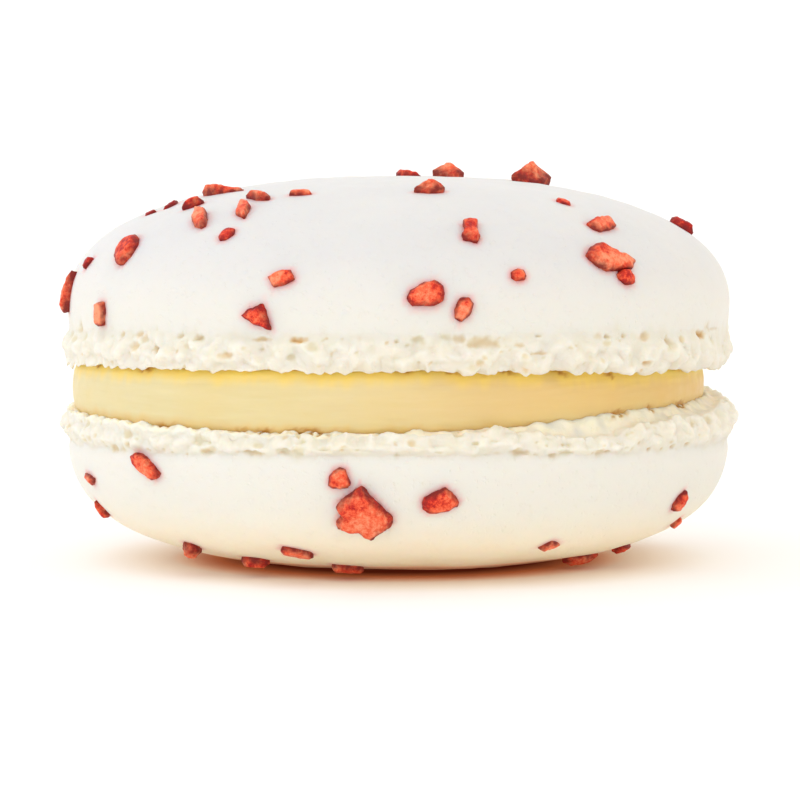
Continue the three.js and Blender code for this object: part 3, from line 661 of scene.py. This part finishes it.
def foot_grid(shell, named, gaps):
    """The foot's surface from its seat at the cream, out under it to the rim, up its wall to the seam and
    over the skirt to the dome's first ring, as a grid of rows, and its marks."""
    noise = Simplex(shell.seed)
    foam = Simplex(shell.seed + 100)
    b = round_bearings(COLUMNS)
    up = shell.up
    seat = on_plane(shell.base, b, seat_radius(b) - FOAM.under_cream)
    rim = rim_of(shell, b, gaps)
    calm = plane_z(shell.base, rim[:, 0], rim[:, 1]) - up * lip_height(shell, noise, b)
    seam_radius = shell.dome_radius - SEAT.seam_pinch
    seam_z = plane_z(shell.seam, seam_radius * np.cos(b), seam_radius * np.sin(b))
    seam_z = seam_z + swell(shell.seam_swells, b)
    foot_height = np.abs(seam_z - rim[:, 2])
    rows, shares, unders = [], [], []
    for k in range(UNDER_ROWS):
        # The rim's teeth fade out towards the cream, so that the ledge isn't pleated.
        share = k / UNDER_ROWS
        row = seat + (rim - seat) * share
        row[:, 2] = seat[:, 2] + (calm - seat[:, 2]) * math.sin(share * math.pi / 2) ** 2
        row[:, 2] += (rim[:, 2] - calm) * share**4
        row[:, 2] -= up * climb_of(shell, b, row)
        rows.append(row)
        shares.append(0 * b)
        unders.append(0 * b + 1 - share)
    for k in range(WALL_ROWS + 1):
        share = (k / WALL_ROWS) ** 1.15
        wall = foot_wall(shell, noise, b, share * foot_height)
        radius = wall + (seam_radius - wall) * smooth(0.5, 1.0, share)
        rows.append(at_bearing(b, radius, rim[:, 2] + share * (seam_z - rim[:, 2])))
        shares.append(0 * b + share)
        unders.append(0 * b)
    widest_z = plane_z(shell.widest, seam_radius * np.cos(b), seam_radius * np.sin(b))
    first_rise = up * (seam_z - widest_z)
    _, last_rise = dome_outline(shell, DOME_START)
    for k in range(1, SKIRT_ROWS + 1):
        share = k / SKIRT_ROWS
        rise = first_rise + (last_rise - first_rise) * share
        radius = dome_at_rise(shell, rise) - SEAT.seam_pinch * (1 - share) ** 2
        x, y = radius * np.cos(b), radius * np.sin(b)
        rows.append(at_bearing(b, radius, plane_z(shell.widest, x, y) + up * rise))
        shares.append(1 + 0 * b + share * 0.5)
        unders.append(0 * b)
    grid, shares, unders = np.array(rows), np.array(shares), np.array(unders)
    normals = grid_normals(grid) * up
    # The foam ends a little over or under the seam, in a wandering line.
    edge = 1 + FOAM.wander * foam.grain(grid * (1, 1, 0) + (0, 0, 70), 2.1)
    edge = edge + 0.5 * FOAM.wander * foam.grain(grid * (1, 1, 0) + (0, 0, 90), 0.9)
    foot = smooth(edge + 0.05, edge - 0.12, shares)
    at_seat = smooth(1.0, 0.35, unders)
    relief = 0
    for size, depth in FOAM.humps:
        relief = relief + depth * (foam.billows(grid, size, 1.25) - FOAM.mean)
    relief = relief + FOAM.grain[1] * foam.grain(grid, FOAM.grain[0])
    hollow, browned = np.zeros(shares.shape), np.zeros(shares.shape)
    sunk = np.zeros(shares.shape)
    for bearing, share, half_width, half_height, depth, brown in foot_hollows(shell, named):
        around = turned(b, bearing) * shell.foot_radius / half_width
        near = np.abs(around) < 1.6
        above = (shares[:, near] - share) * foot_height[near] / half_height
        reach = np.sqrt(around[near] ** 2 + above**2)
        reach = reach + 0.25 * foam.grain(grid[:, near], 0.5)
        bowl = smooth(1.25, 0.35, reach)
        sunk[:, near] = np.maximum(sunk[:, near], depth * bowl)
        hollow[:, near] = np.maximum(hollow[:, near], bowl)
        browned[:, near] = np.maximum(browned[:, near], brown * bowl)
    relief = (relief * smooth(edge + 0.05, edge - 0.4, shares) - sunk * foot) * at_seat
    # Under the smooth skin's edge the foam is drawn in by a hair, which leaves a fine step.
    step = FOAM.step * smooth(edge + 0.1, edge - 0.02, shares) * smooth(edge - 0.3, edge - 0.02, shares)
    grid = grid + normals * (relief - step)[..., None]
    # Where the foam lies lower than its mean it is painted darker and yellower: painted shade in its creases.
    creased = smooth(0.02, -0.22, relief) * foot
    hollow = np.maximum(hollow * foot, 0.6 * creased)
    # Dark crannies lie at the cream, along its gaps; their dark colour is partly brown and partly painted
    # shade.
    from_cream = np.hypot(grid[..., 0], grid[..., 1]) - cream_reach(b)
    cranny = gap_share(gaps, b, CREAM.radius) * smooth(0.45, 0.12, from_cream) * (unders > 0)
    cranny = cranny * smooth(-0.35, 0.25, foam.grain(grid, 0.55))
    grid[..., 2] += up * FOAM.cranny_depth * cranny
    # The ledge under the cream is given a faint painted shade.
    browned = np.maximum(browned * foot, np.maximum(cranny, 0.06 * unders))
    # Near the cream the ledge is painted lighter and creamier: partly a smear of cream, partly painted light
    # over its shade.
    cream_smear_and_light = smooth(1.3, 0.2, from_cream) * smooth(-1.0, 0.4, foam.grain(grid, 1.4)) * (unders > 0)
    rest = 0 * foot
    marks = np.stack([foot, hollow, browned, cream_smear_and_light, rest, rest, rest], -1)
    return grid, marks


def dome_rings(shell):
    """The dome's rings over its first one, out to its crown, with points as far apart as the rings."""
    b = round_bearings(COLUMNS)
    shares = np.linspace(DOME_START, 1, 4000)
    radius, rise = dome_outline(shell, shares)
    length = np.concatenate([[0], np.cumsum(np.hypot(np.diff(radius), np.diff(rise)))])
    count = int(length[-1] / DOME_STEP)
    rings = []
    uneven = Simplex(shell.seed + 300)
    for k in range(1, count):
        share = np.interp(k * DOME_STEP, length, shares)
        radius, rise = dome_outline(shell, share)
        columns = COLUMNS // 2
        while TURN * radius / columns < 0.6 * DOME_STEP and columns > 40:
            columns //= 2
        if rings:
            columns = max(columns, len(rings[-1][0]) // 2)
        b = round_bearings(columns)
        points = on_plane(shell.widest, b, radius, shell.up * rise)
        waves = sum(depth * uneven.grain(points, size) for size, depth in DOME_WAVES)
        points[:, 2] += shell.up * waves * smooth(0, 1.5, k * DOME_STEP)
        if shell.flat_radius > 0:
            points[:, 2] = np.maximum(points[:, 2], 0)
        rings.append(mark_ring(SHELL_MARKS, points))
    crown = np.array([[0.0, 0.0, shell.widest[0] + shell.up * shell.dome_height]])
    if shell.flat_radius > 0:
        crown[0, 2] = 0
    rings.append(mark_ring(SHELL_MARKS, crown))
    return rings


def base_rings(shell):
    """The flat base inside the seat, which the cream hides."""
    rings = [mark_ring(SHELL_MARKS, on_plane(shell.base, np.array([0.0]), 0.0), foot=1)]
    for radius, columns in [(6, 20), (10, 40), (14, 80), (17, 160), (19, 320), (19.8, 640)]:
        points = on_plane(shell.base, round_bearings(columns), radius)
        rings.append(mark_ring(SHELL_MARKS, points, foot=1))
    return rings


def stain_marks(vertices, crumbs):
    """How much the red of the crumbs has bled into the shell round them."""
    stain = np.zeros(len(vertices))
    for crumb in crumbs:
        offset = vertices - np.array(crumb.point)
        near = np.flatnonzero((np.abs(offset) < 3).all(-1))
        offset = offset[near]
        axes = np.array([crumb.along, crumb.across, crumb.normal])
        u, v, _ = (offset @ np.linalg.inv(axes)).T
        corners = np.array([(corner.a, corner.b) for corner in crumb.corners])
        out = np.full(len(near), np.inf)
        inside = np.zeros(len(near), bool)
        for (a0, b0), (a1, b1) in zip(corners, np.roll(corners, -1, 0)):
            start = a0 * axes[0] + b0 * axes[1]
            edge = (a1 - a0) * axes[0] + (b1 - b0) * axes[1]
            share = np.clip((offset - start) @ edge / (edge @ edge), 0, 1)
            out = np.minimum(out, np.linalg.norm(offset - start - share[:, None] * edge, axis=-1))
            crosses = (b0 > v) != (b1 > v)
            rise = b1 - b0 if b1 != b0 else 1
            inside ^= crosses & (u < a0 + (v - b0) / rise * (a1 - a0))
        out = np.where(inside, 0, out)
        stain[near] = np.maximum(stain[near], np.exp(-((out / STAIN_REACH) ** 2)))
    return stain


def painted_warmth(shell, z):
    """How much painted light the skin has by height; the upper dome's top, with none, reads as painted shade.
    """
    if shell.up > 0:
        # On the upper shell the painted light grows towards its foot.
        return 0.6 * smooth(21.5, 15.5, z)
    # On the lower shell it grows downwards, a creamier painted light bounced up from the table.
    return 0.55 + 0.45 * smooth(8, 2, z)


def mesh_object(name, vertices, faces, material, names=(), marks=None):
    mesh = bpy.data.meshes.new(name)
    mesh.from_pydata((np.asarray(vertices) * MM).tolist(), [], faces)
    mesh.update()
    mesh.shade_smooth()
    for i, mark in enumerate(names):
        attribute = mesh.attributes.new(mark, "FLOAT", "POINT")
        attribute.data.foreach_set("value", marks[:, i].astype(np.float32))
    obj = bpy.data.objects.new(name, mesh)
    bpy.context.scene.collection.objects.link(obj)
    obj.data.materials.append(material)
    return obj


def make_shell(shell, named_hollows, gaps, crumbs, material):
    grid, marks = foot_grid(shell, named_hollows, gaps)
    rings = base_rings(shell)
    rings += list(zip(grid, marks))
    rings += dome_rings(shell)
    if shell.up < 0:
        rings = rings[::-1]
    vertices, faces, marks = stitch(rings)
    marks[:, SHELL_MARKS.index("stain")] = stain_marks(vertices, crumbs)
    # Marks by height: painted light and shade on the skin, and how near the table it is, for painted bounce
    # light, a painted glow and a painted contact shadow.
    marks[:, SHELL_MARKS.index("painted_warm_light")] = painted_warmth(shell, vertices[:, 2])
    marks[:, SHELL_MARKS.index("under")] = smooth(5.5, 0.3, vertices[:, 2])
    return mesh_object(f"{shell.name}_meringue", vertices, faces, material, SHELL_MARKS, marks)


def make_cream(material):
    """The cream: a disc between the two leaning bases, with rounded edges and faint level streaks. Painted
    shade makes it yellower under the upper rim and darker orange to the right and along the lower rim, and
    its colour where the rims leave gaps is dark, partly brown and partly painted shade."""
    noise = Simplex(5)
    b = round_bearings(CREAM_COLUMNS)
    upper_rim, lower_rim = rim_of(UPPER, b, UPPER_GAPS)[:, 2], rim_of(LOWER, b, LOWER_GAPS)[:, 2]
    foot_of_wall = on_plane(LOWER.base, b, cream_reach(b))
    climbed = foot_of_wall[:, 2] + climb_of(LOWER, b, foot_of_wall)
    upper_gap = gap_share(UPPER_GAPS, b, CREAM.radius)
    lower_gap = gap_share(LOWER_GAPS, b, CREAM.radius)

    def at(bearing, radius, share):
        low = on_plane(LOWER.base, bearing, radius, CREAM.gap)
        high = on_plane(UPPER.base, bearing, radius, -CREAM.gap)
        return low + (high - low) * share

    def flat(share):
        rings = [at(np.array([0.0]), 0.0, share)]
        for radius, columns in [(6, 40), (12, 80), (16, 160), (18, 320)]:
            rings.append(at(round_bearings(columns), radius, share))
        return [mark_ring(CREAM_MARKS, ring, deep=1) for ring in rings]

    side = []
    for k in range(CREAM_ROWS + 1):
        share = 0.5 - 0.5 * math.cos(math.pi * k / CREAM_ROWS)
        edge = abs(2 * share - 1)
        inward = CREAM.bulge * edge**2 * (0.5 if share < 0.5 else 1) + CREAM.edge * edge**8
        x, y, z = np.moveaxis(at(b, cream_reach(b) - inward, share), -1, 0)
        waves = sum(d * noise(x / wide, y / wide, z / tall) for wide, tall, d in CREAM_WAVES)
        points = at(b, cream_reach(b) - inward + waves * (1 - edge**6), share)
        ragged = 0.12 * noise(x / 0.6, y / 0.6, z / 0.6)
        below, above = upper_rim - z, z - np.maximum(climbed, lower_rim)
        high, low = smooth(0.3, 0.12, below + ragged), smooth(0.34, 0.12, above + ragged)
        # Dark where the rims leave gaps, partly brown and partly painted shade.
        browned = np.maximum(upper_gap * high, lower_gap * low)
        browned = browned * smooth(-0.6, 0.0, noise(x / 0.7, y / 0.7, z / 0.4))
        # Painted shade: darker orange to the right, and along the lower rim.
        toasted = np.maximum(smooth(-14, 25, x), 0.75 * smooth(0.8, 0, above))
        # Painted shade: a saturated yellow band under the upper rim.
        deep = smooth(1.2, 0.1, below)
        side.append(mark_ring(CREAM_MARKS, points, deep=deep, toasted=toasted, browned=browned))
    vertices, faces, marks = stitch(flat(0) + side + flat(1)[::-1])
    return mesh_object("cream", vertices, faces, material, CREAM_MARKS, marks)


def crumb_mesh(crumb):
    """One crumb as a bmesh: the frame's chip, ready for broken edges and a grainy face."""
    form = FORMS[crumb.form]

    def place(a, b, rise):
        point = crumb.point + a * crumb.along + b * crumb.across + rise * crumb.normal
        point.z = max(point.z, CRUMB.floor_gap)
        return point

    chip = bmesh.new()
    # The rim mark darkens the sides in the material: partly the berry's own edges, partly painted shade.
    rim = chip.verts.layers.float.new("rim")

    def ring(width, rise_of, mark):
        made = []
        for c in crumb.corners:
            made.append(chip.verts.new(place(width * c.a, width * c.b, rise_of(c))))
            made[-1][rim] = mark
        return made

    low = chip.verts.new(place(0, 0, -CRUMB.sunk))
    foot = ring(CRUMB.foot, lambda c: -CRUMB.sunk, 1)
    waist = ring(1, lambda c: c.waist * crumb.height, 1)
    shoulder = ring(form.crest, lambda c: c.shoulder * crumb.height, 0.5)
    top = chip.verts.new(place(form.top, 0, crumb.height))
    count = len(crumb.corners)
    for i in range(count):
        j = (i + 1) % count
        chip.faces.new([low, foot[j], foot[i]])
        for below, above in [(foot, waist), (waist, shoulder)]:
            chip.faces.new([below[i], below[j], above[j]])
            chip.faces.new([below[i], above[j], above[i]])
        chip.faces.new([shoulder[i], shoulder[j], top])
    return chip


def make_crumbs(shell, crumbs, material):
    """All crumbs of one shell, as one piece."""
    noise = Simplex(shell.seed + 500)
    vertices, faces, rims, tones = [], [], [], []
    for crumb in crumbs:
        chip = crumb_mesh(crumb)
        bmesh.ops.subdivide_edges(chip, edges=chip.edges, cuts=4, use_grid_fill=True)
        bmesh.ops.smooth_vert(
            chip, verts=chip.verts, factor=0.5, use_axis_x=True, use_axis_y=True, use_axis_z=True
        )
        chip.normal_update()
        start = sum(len(part) for part in vertices)
        points = np.array([v.co for v in chip.verts])
        normals = np.array([v.normal for v in chip.verts])
        size = min(1, crumb.across.length, crumb.along.length, crumb.height)
        rough = 0.08 * noise.grain(points, 0.35 + 0.5 * size) + 0.035 * noise.grain(points, 0.26)
        points = points + normals * (size * rough)[:, None]
        points[:, 2] = np.maximum(points[:, 2], CRUMB.floor_gap)
        rim = chip.verts.layers.float["rim"]
        vertices.append(points)
        rims += [v[rim] for v in chip.verts]
        tones += [crumb.tone] * len(points)
        faces += [[start + v.index for v in face.verts] for face in chip.faces]
        chip.free()
    marks = np.array([rims, tones]).T
    name = f"{shell.name}_crumbs"
    return mesh_object(name, np.concatenate(vertices), faces, material, CRUMB_MARKS, marks)


# Materials.


class Nodes:
    """A material's node tree, with short ways to add what the materials here share."""

    def __init__(self, name):
        self.material = bpy.data.materials.new(name)
        self.material.use_nodes = True
        self.tree = self.material.node_tree
        self.shader = self.tree.nodes["Principled BSDF"]

    def add(self, kind, **settings):
        node = self.tree.nodes.new(kind)
        for name, value in settings.items():
            setattr(node, name, value)
        return node

    def link(self, source, target):
        self.tree.links.new(source, target)

    def feed(self, socket, value):
        if isinstance(value, bpy.types.NodeSocket):
            self.link(value, socket)
        else:
            socket.default_value = value

    def set(self, **values):
        """Gives the shader's inputs a number, a colour or a node's output."""
        for name, value in values.items():
            self.feed(self.shader.inputs[name.replace("_", " ")], value)

    def attribute(self, name):
        return self.add("ShaderNodeAttribute", attribute_name=name).outputs["Fac"]

    def noise(self, size, detail=3.0, roughness=0.5, stretch=(1, 1, 1)):
        """Noise with features of that size in mm, in the object's own space."""
        place = self.add("ShaderNodeMapping")
        place.inputs["Scale"].default_value = [k / (size * MM) for k in stretch]
        self.link(self.add("ShaderNodeTexCoord").outputs["Object"], place.inputs["Vector"])
        noise = self.add("ShaderNodeTexNoise")
        noise.inputs["Scale"].default_value = 1
        noise.inputs["Detail"].default_value = detail
        noise.inputs["Roughness"].default_value = roughness
        self.link(place.outputs["Vector"], noise.inputs["Vector"])
        return noise.outputs["Fac"]

    def from_axis(self):
        """The distance from the object's own axis, in metres."""
        length = self.add("ShaderNodeVectorMath", operation="LENGTH")
        self.link(self.add("ShaderNodeTexCoord").outputs["Object"], length.inputs[0])
        return length.outputs["Value"]

    def ranged(self, value, low, high, new_low=0.0, new_high=1.0):
        node = self.add("ShaderNodeMapRange", clamp=True)
        given = {"From Min": low, "From Max": high, "To Min": new_low, "To Max": new_high}
        for name, number in given.items():
            node.inputs[name].default_value = number
        self.link(value, node.inputs["Value"])
        return node.outputs["Result"]

    def math(self, operation, one, two):
        node = self.add("ShaderNodeMath", operation=operation)
        self.link(one, node.inputs[0])
        self.link(two, node.inputs[1])
        return node.outputs["Value"]

    def mix(self, factor, one, two):
        node = self.add("ShaderNodeMix", data_type="RGBA")
        self.link(factor, node.inputs["Factor"])
        sockets = [socket for socket in node.inputs if socket.type == "RGBA"]
        for socket, value in zip(sockets, (one, two)):
            self.feed(socket, (*value, 1) if isinstance(value, tuple) else value)
        return next(socket for socket in node.outputs if socket.type == "RGBA")

    def ramp(self, value, stops):
        node = self.add("ShaderNodeValToRGB")
        elements = node.color_ramp.elements
        while len(elements) < len(stops):
            elements.new(0.5)
        for element, (at, colour) in zip(elements, stops):
            element.position = at
            element.color = (*colour, 1)
        self.link(value, node.inputs["Fac"])
        return node.outputs["Color"]

    def bump(self, heights):
        """Bumps from (height, strength in mm) pairs, one over the other."""
        before = None
        for height, depth in heights:
            node = self.add("ShaderNodeBump")
            node.inputs["Distance"].default_value = depth * MM
            self.link(height, node.inputs["Height"])
            if before is not None:
                self.link(before, node.inputs["Normal"])
            before = node.outputs["Normal"]
        self.link(before, self.shader.inputs["Normal"])


def meringue_material():
    """Off-white meringue: a smooth dull skin with painted light and shade by height, and foam with darker
    hollows.
    """
    n = Nodes("meringue")
    # Painted light and shade: the skin is greyer and darker on the upper dome's top, creamier and lighter
    # towards its foot and down the lower shell.
    skin = n.mix(n.attribute("painted_warm_light"), (0.65, 0.645, 0.645), (0.79, 0.775, 0.68))
    blotches = n.ranged(n.noise(5.0, 2), 0.35, 0.7, 0, 0.25)
    skin = n.mix(blotches, skin, (0.73, 0.71, 0.665))
    specks = n.ranged(n.noise(0.55, 4, 0.6), 0.62, 0.75, 0, 0.3)
    skin = n.mix(specks, skin, (0.69, 0.655, 0.58))
    # Painted bounce light: the skin turns peach towards the table, as if lit by light bounced up from the
    # floor.
    skin = n.mix(n.ranged(n.attribute("under"), 0, 0.9), skin, (0.98, 0.87, 0.65))
    # Painted contact shadow: a thin dark brown band where the lower shell meets the table.
    skin = n.mix(n.ranged(n.attribute("under"), 0.96, 0.995), skin, (0.55, 0.2, 0.05))
    foam = n.mix(n.ranged(n.noise(1.2, 3), 0.35, 0.65), (0.72, 0.697, 0.625), (0.705, 0.675, 0.57))
    # The hollows are painted darker and yellower, and so are the creases, where it is painted shade.
    foam = n.mix(n.ranged(n.attribute("hollow"), 0.05, 1, 0, 0.8), foam, (0.66, 0.605, 0.43))
    # Partly a smear of cream on the ledge, partly painted light that lifts its shade.
    foam = n.mix(n.ranged(n.attribute("cream_smear_and_light"), 0, 1, 0, 0.9), foam, (0.96, 0.88, 0.68))
    colour = n.mix(n.attribute("foot"), skin, foam)
    # Brown hollows, and crannies and gaps that are partly brown and partly painted shade.
    browned = n.attribute("browned")
    colour = n.mix(n.ranged(browned, 0, 0.6), colour, (0.66, 0.45, 0.2))
    colour = n.mix(n.ranged(browned, 0.5, 1), colour, (0.4, 0.18, 0.03))
    bleed = n.math("MULTIPLY", n.attribute("stain"), n.ranged(n.noise(0.5, 3), 0.3, 0.7, 0.45, 0.95))
    colour = n.mix(bleed, colour, (0.86, 0.42, 0.4))
    n.set(Base_Color=colour, Specular_IOR_Level=0.35)
    # A painted glow: the lower shell's underside gives off light of its own, in place of light that comes
    # through the shell.
    through = n.ranged(n.attribute("under"), 0.3, 1, 0, 0.11)
    n.set(Emission_Color=(1.0, 0.72, 0.45, 1), Emission_Strength=through)
    n.set(Roughness=n.ranged(n.noise(1.6, 3), 0.3, 0.7, 0.55, 0.72))
    n.set(Subsurface_Weight=0.7, Subsurface_Radius=(1.0, 0.72, 0.5), Subsurface_Scale=2 * MM)
    fine = n.noise(0.18, 3)
    pores = n.ranged(n.noise(0.4, 2, 0.6), 0.3, 0.42)
    n.bump([(fine, 0.012), (pores, 0.02), (n.noise(1.4, 2), 0.03)])
    return n.material


def cream_material():
    """Pale yellow cream, dense and a little glossy, with level streaks."""
    n = Nodes("cream")
    streaks = n.noise(2.4, 4, 0.55, (0.5, 0.5, 5))
    colour = n.mix(n.ranged(streaks, 0.3, 0.7), (0.665, 0.575, 0.31), (0.69, 0.605, 0.35))
    # Painted shade: darker orange to the right and along the lower rim.
    colour = n.mix(n.attribute("toasted"), colour, (0.75, 0.475, 0.15))
    colour = n.mix(n.ranged(n.noise(5, 2), 0.4, 0.7, 0, 0.4), colour, (0.715, 0.55, 0.22))
    # Painted shade: a saturated yellow under the upper rim.
    colour = n.mix(n.attribute("deep"), colour, (0.87, 0.63, 0.14))
    # Dark at the rims' gaps: partly brown, partly painted shade.
    colour = n.mix(n.attribute("browned"), colour, (0.52, 0.24, 0.04))
    n.set(Base_Color=colour, Specular_IOR_Level=0.4)
    n.set(Roughness=n.ranged(n.noise(1.1, 3), 0.3, 0.7, 0.38, 0.55))
    n.set(Subsurface_Weight=0.6, Subsurface_Radius=(1.0, 0.75, 0.4), Subsurface_Scale=1.8 * MM)
    n.bump([(n.noise(0.3, 3), 0.006), (streaks, 0.02)])
    return n.material


def berry_material():
    """Dried red berry: mottled coral and red faces, dark down the sides: its own edges and painted shade."""
    n = Nodes("berry")
    grain = n.noise(0.36, 5, 0.75)
    patches = n.ranged(n.noise(1.5, 1), 0.36, 0.64, -0.1, 0.1)
    tone = n.ranged(n.attribute("tone"), 0, 1, -0.17, 0.17)
    level = n.math("ADD", n.math("ADD", grain, patches), tone)
    colour = n.ramp(
        level,
        [
            (0.3, (0.3, 0.004, 0.004)),
            (0.41, (0.52, 0.016, 0.008)),
            (0.5, (0.76, 0.07, 0.024)),
            (0.6, (0.84, 0.15, 0.06)),
            (0.76, (0.88, 0.3, 0.16)),
        ],
    )
    # The sides are darkened: partly the berry's own dark edges, partly painted shade where they meet the
    # shell.
    edge = n.math("MULTIPLY", n.attribute("rim"), n.ranged(n.noise(0.5, 3), 0.3, 0.7, 0.5, 1))
    colour = n.mix(n.ranged(edge, 0.34, 0.8, 0, 0.92), colour, (0.16, 0.007, 0.007))
    n.set(Base_Color=colour, Specular_IOR_Level=0.25)
    n.set(Roughness=n.ranged(grain, 0.3, 0.7, 0.45, 0.7))
    n.set(Subsurface_Weight=0.2, Subsurface_Radius=(1.0, 0.3, 0.2), Subsurface_Scale=0.4 * MM)
    n.bump([(n.noise(0.14, 3, 0.6), 0.02), (grain, 0.05)])
    return n.material


def floor_with_painted_shadow():
    """A pale floor with a painted shadow under the shell: dark brown at its foot, orange round it, then pale.
    """
    n = Nodes("floor")
    # Painted shadow: the floor's own colour goes dark brown near the axis, orange further out and pale
    # beyond.
    out = n.ranged(n.from_axis(), 0, 40 * MM)
    colour = [
        (0.24, (0.36, 0.05, 0.008)),
        (0.3, (0.97, 0.45, 0.21)),
        (0.38, (0.91, 0.83, 0.79)),
        (0.52, (0.97, 0.95, 0.945)),
    ]
    n.set(Base_Color=n.ramp(out, colour), Roughness=0.9, Specular_IOR_Level=0.1)
    return n.material


# The object.


def dress_shell(shell, rows, hollows, gaps, node, materials):
    crumbs = crumbs_of(shell, rows)
    meringue = make_shell(shell, hollows, gaps, crumbs, materials.meringue)
    chips = make_crumbs(shell, crumbs, materials.berry)
    for piece, slot in [(meringue, "meringue"), (chips, "berry")]:
        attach(piece, "root")
        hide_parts(node)


def dress_cream(materials):
    piece = make_cream(materials.cream)
    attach(piece, "root")
    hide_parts("cream_filling")


# The studio: a white floor and sky, a large soft light from the front left, and the camera.

STUDIO = SimpleNamespace(
    floor_radius=3.0,
    sky=1.3,
    sky_slope=(-0.105, 0, -0.15),
    sky_left=(1.0, 1.0, 1.0),
    sky_right=(1.0, 0.935, 0.825),
    key_place=(-0.16, -0.65, 0.1),
    key_size=0.5,
    key_power=0.75,
)
CAMERA = SimpleNamespace(right=0.1, height=10.5, distance=280, rise=math.radians(4), field=53.33)


def make_floor():
    count = 96
    circle = at_bearing(round_bearings(count), STUDIO.floor_radius / MM, 0.0)
    vertices = [(0, 0, 0), *circle.tolist()]
    faces = [[0, 1 + i, 1 + (i + 1) % count] for i in range(count)]
    mesh_object("floor", vertices, faces, floor_with_painted_shadow())


def make_light():
    data = bpy.data.lights.new("key", "AREA")
    data.shape = "DISK"
    data.size = STUDIO.key_size
    data.energy = STUDIO.key_power
    light = bpy.data.objects.new("key", data)
    light.location = STUDIO.key_place
    light.rotation_euler = (-Vector(STUDIO.key_place)).to_track_quat("-Z", "Y").to_euler()
    bpy.context.scene.collection.objects.link(light)
    world = bpy.data.worlds.new("studio")
    world.use_nodes = True
    nodes, link = world.node_tree.nodes, world.node_tree.links.new
    background = nodes["Background"]
    direction = nodes.new("ShaderNodeTexCoord").outputs["Generated"]
    slope = nodes.new("ShaderNodeVectorMath")
    slope.operation = "DOT_PRODUCT"
    slope.inputs[1].default_value = STUDIO.sky_slope
    link(direction, slope.inputs[0])
    level = nodes.new("ShaderNodeMath")
    level.inputs[1].default_value = STUDIO.sky
    link(slope.outputs["Value"], level.inputs[0])
    link(level.outputs["Value"], background.inputs["Strength"])
    sides = nodes.new("ShaderNodeSeparateXYZ")
    link(direction, sides.inputs["Vector"])
    tint = nodes.new("ShaderNodeValToRGB")
    tint.color_ramp.elements[0].color = (*STUDIO.sky_left, 1)
    tint.color_ramp.elements[1].color = (*STUDIO.sky_right, 1)
    link(sides.outputs["X"], tint.inputs["Fac"])
    link(tint.outputs["Color"], background.inputs["Color"])
    bpy.context.scene.world = world


def make_camera():
    data = bpy.data.cameras.new("camera")
    data.sensor_width = 36
    data.lens = data.sensor_width * CAMERA.distance / CAMERA.field
    data.clip_start = 0.01
    data.clip_end = 10
    camera = bpy.data.objects.new("camera", data)
    aim = Vector((CAMERA.right, 0, CAMERA.height)) * MM
    back = Vector((0, -math.cos(CAMERA.rise), math.sin(CAMERA.rise)))
    camera.location = aim + back * CAMERA.distance * MM
    camera.rotation_euler = (-back).to_track_quat("-Z", "Y").to_euler()
    bpy.context.scene.collection.objects.link(camera)
    bpy.context.scene.camera = camera


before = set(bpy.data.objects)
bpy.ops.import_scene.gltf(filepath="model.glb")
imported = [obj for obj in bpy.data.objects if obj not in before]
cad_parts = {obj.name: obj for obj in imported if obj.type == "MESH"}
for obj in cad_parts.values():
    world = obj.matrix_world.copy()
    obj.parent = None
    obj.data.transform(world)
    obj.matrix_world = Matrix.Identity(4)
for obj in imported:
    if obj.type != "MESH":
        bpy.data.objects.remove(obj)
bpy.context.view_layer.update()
bpy.context.scene.view_settings.view_transform = "Standard"
materials = SimpleNamespace(
    meringue=meringue_material(), cream=cream_material(), berry=berry_material()
)
make_camera()
dress_shell(LOWER, LOWER_CRUMBS, LOWER_HOLLOWS, LOWER_GAPS, "lower_shell", materials)
dress_shell(UPPER, UPPER_CRUMBS, UPPER_HOLLOWS, UPPER_GAPS, "upper_shell", materials)
dress_cream(materials)
make_floor()
make_light()
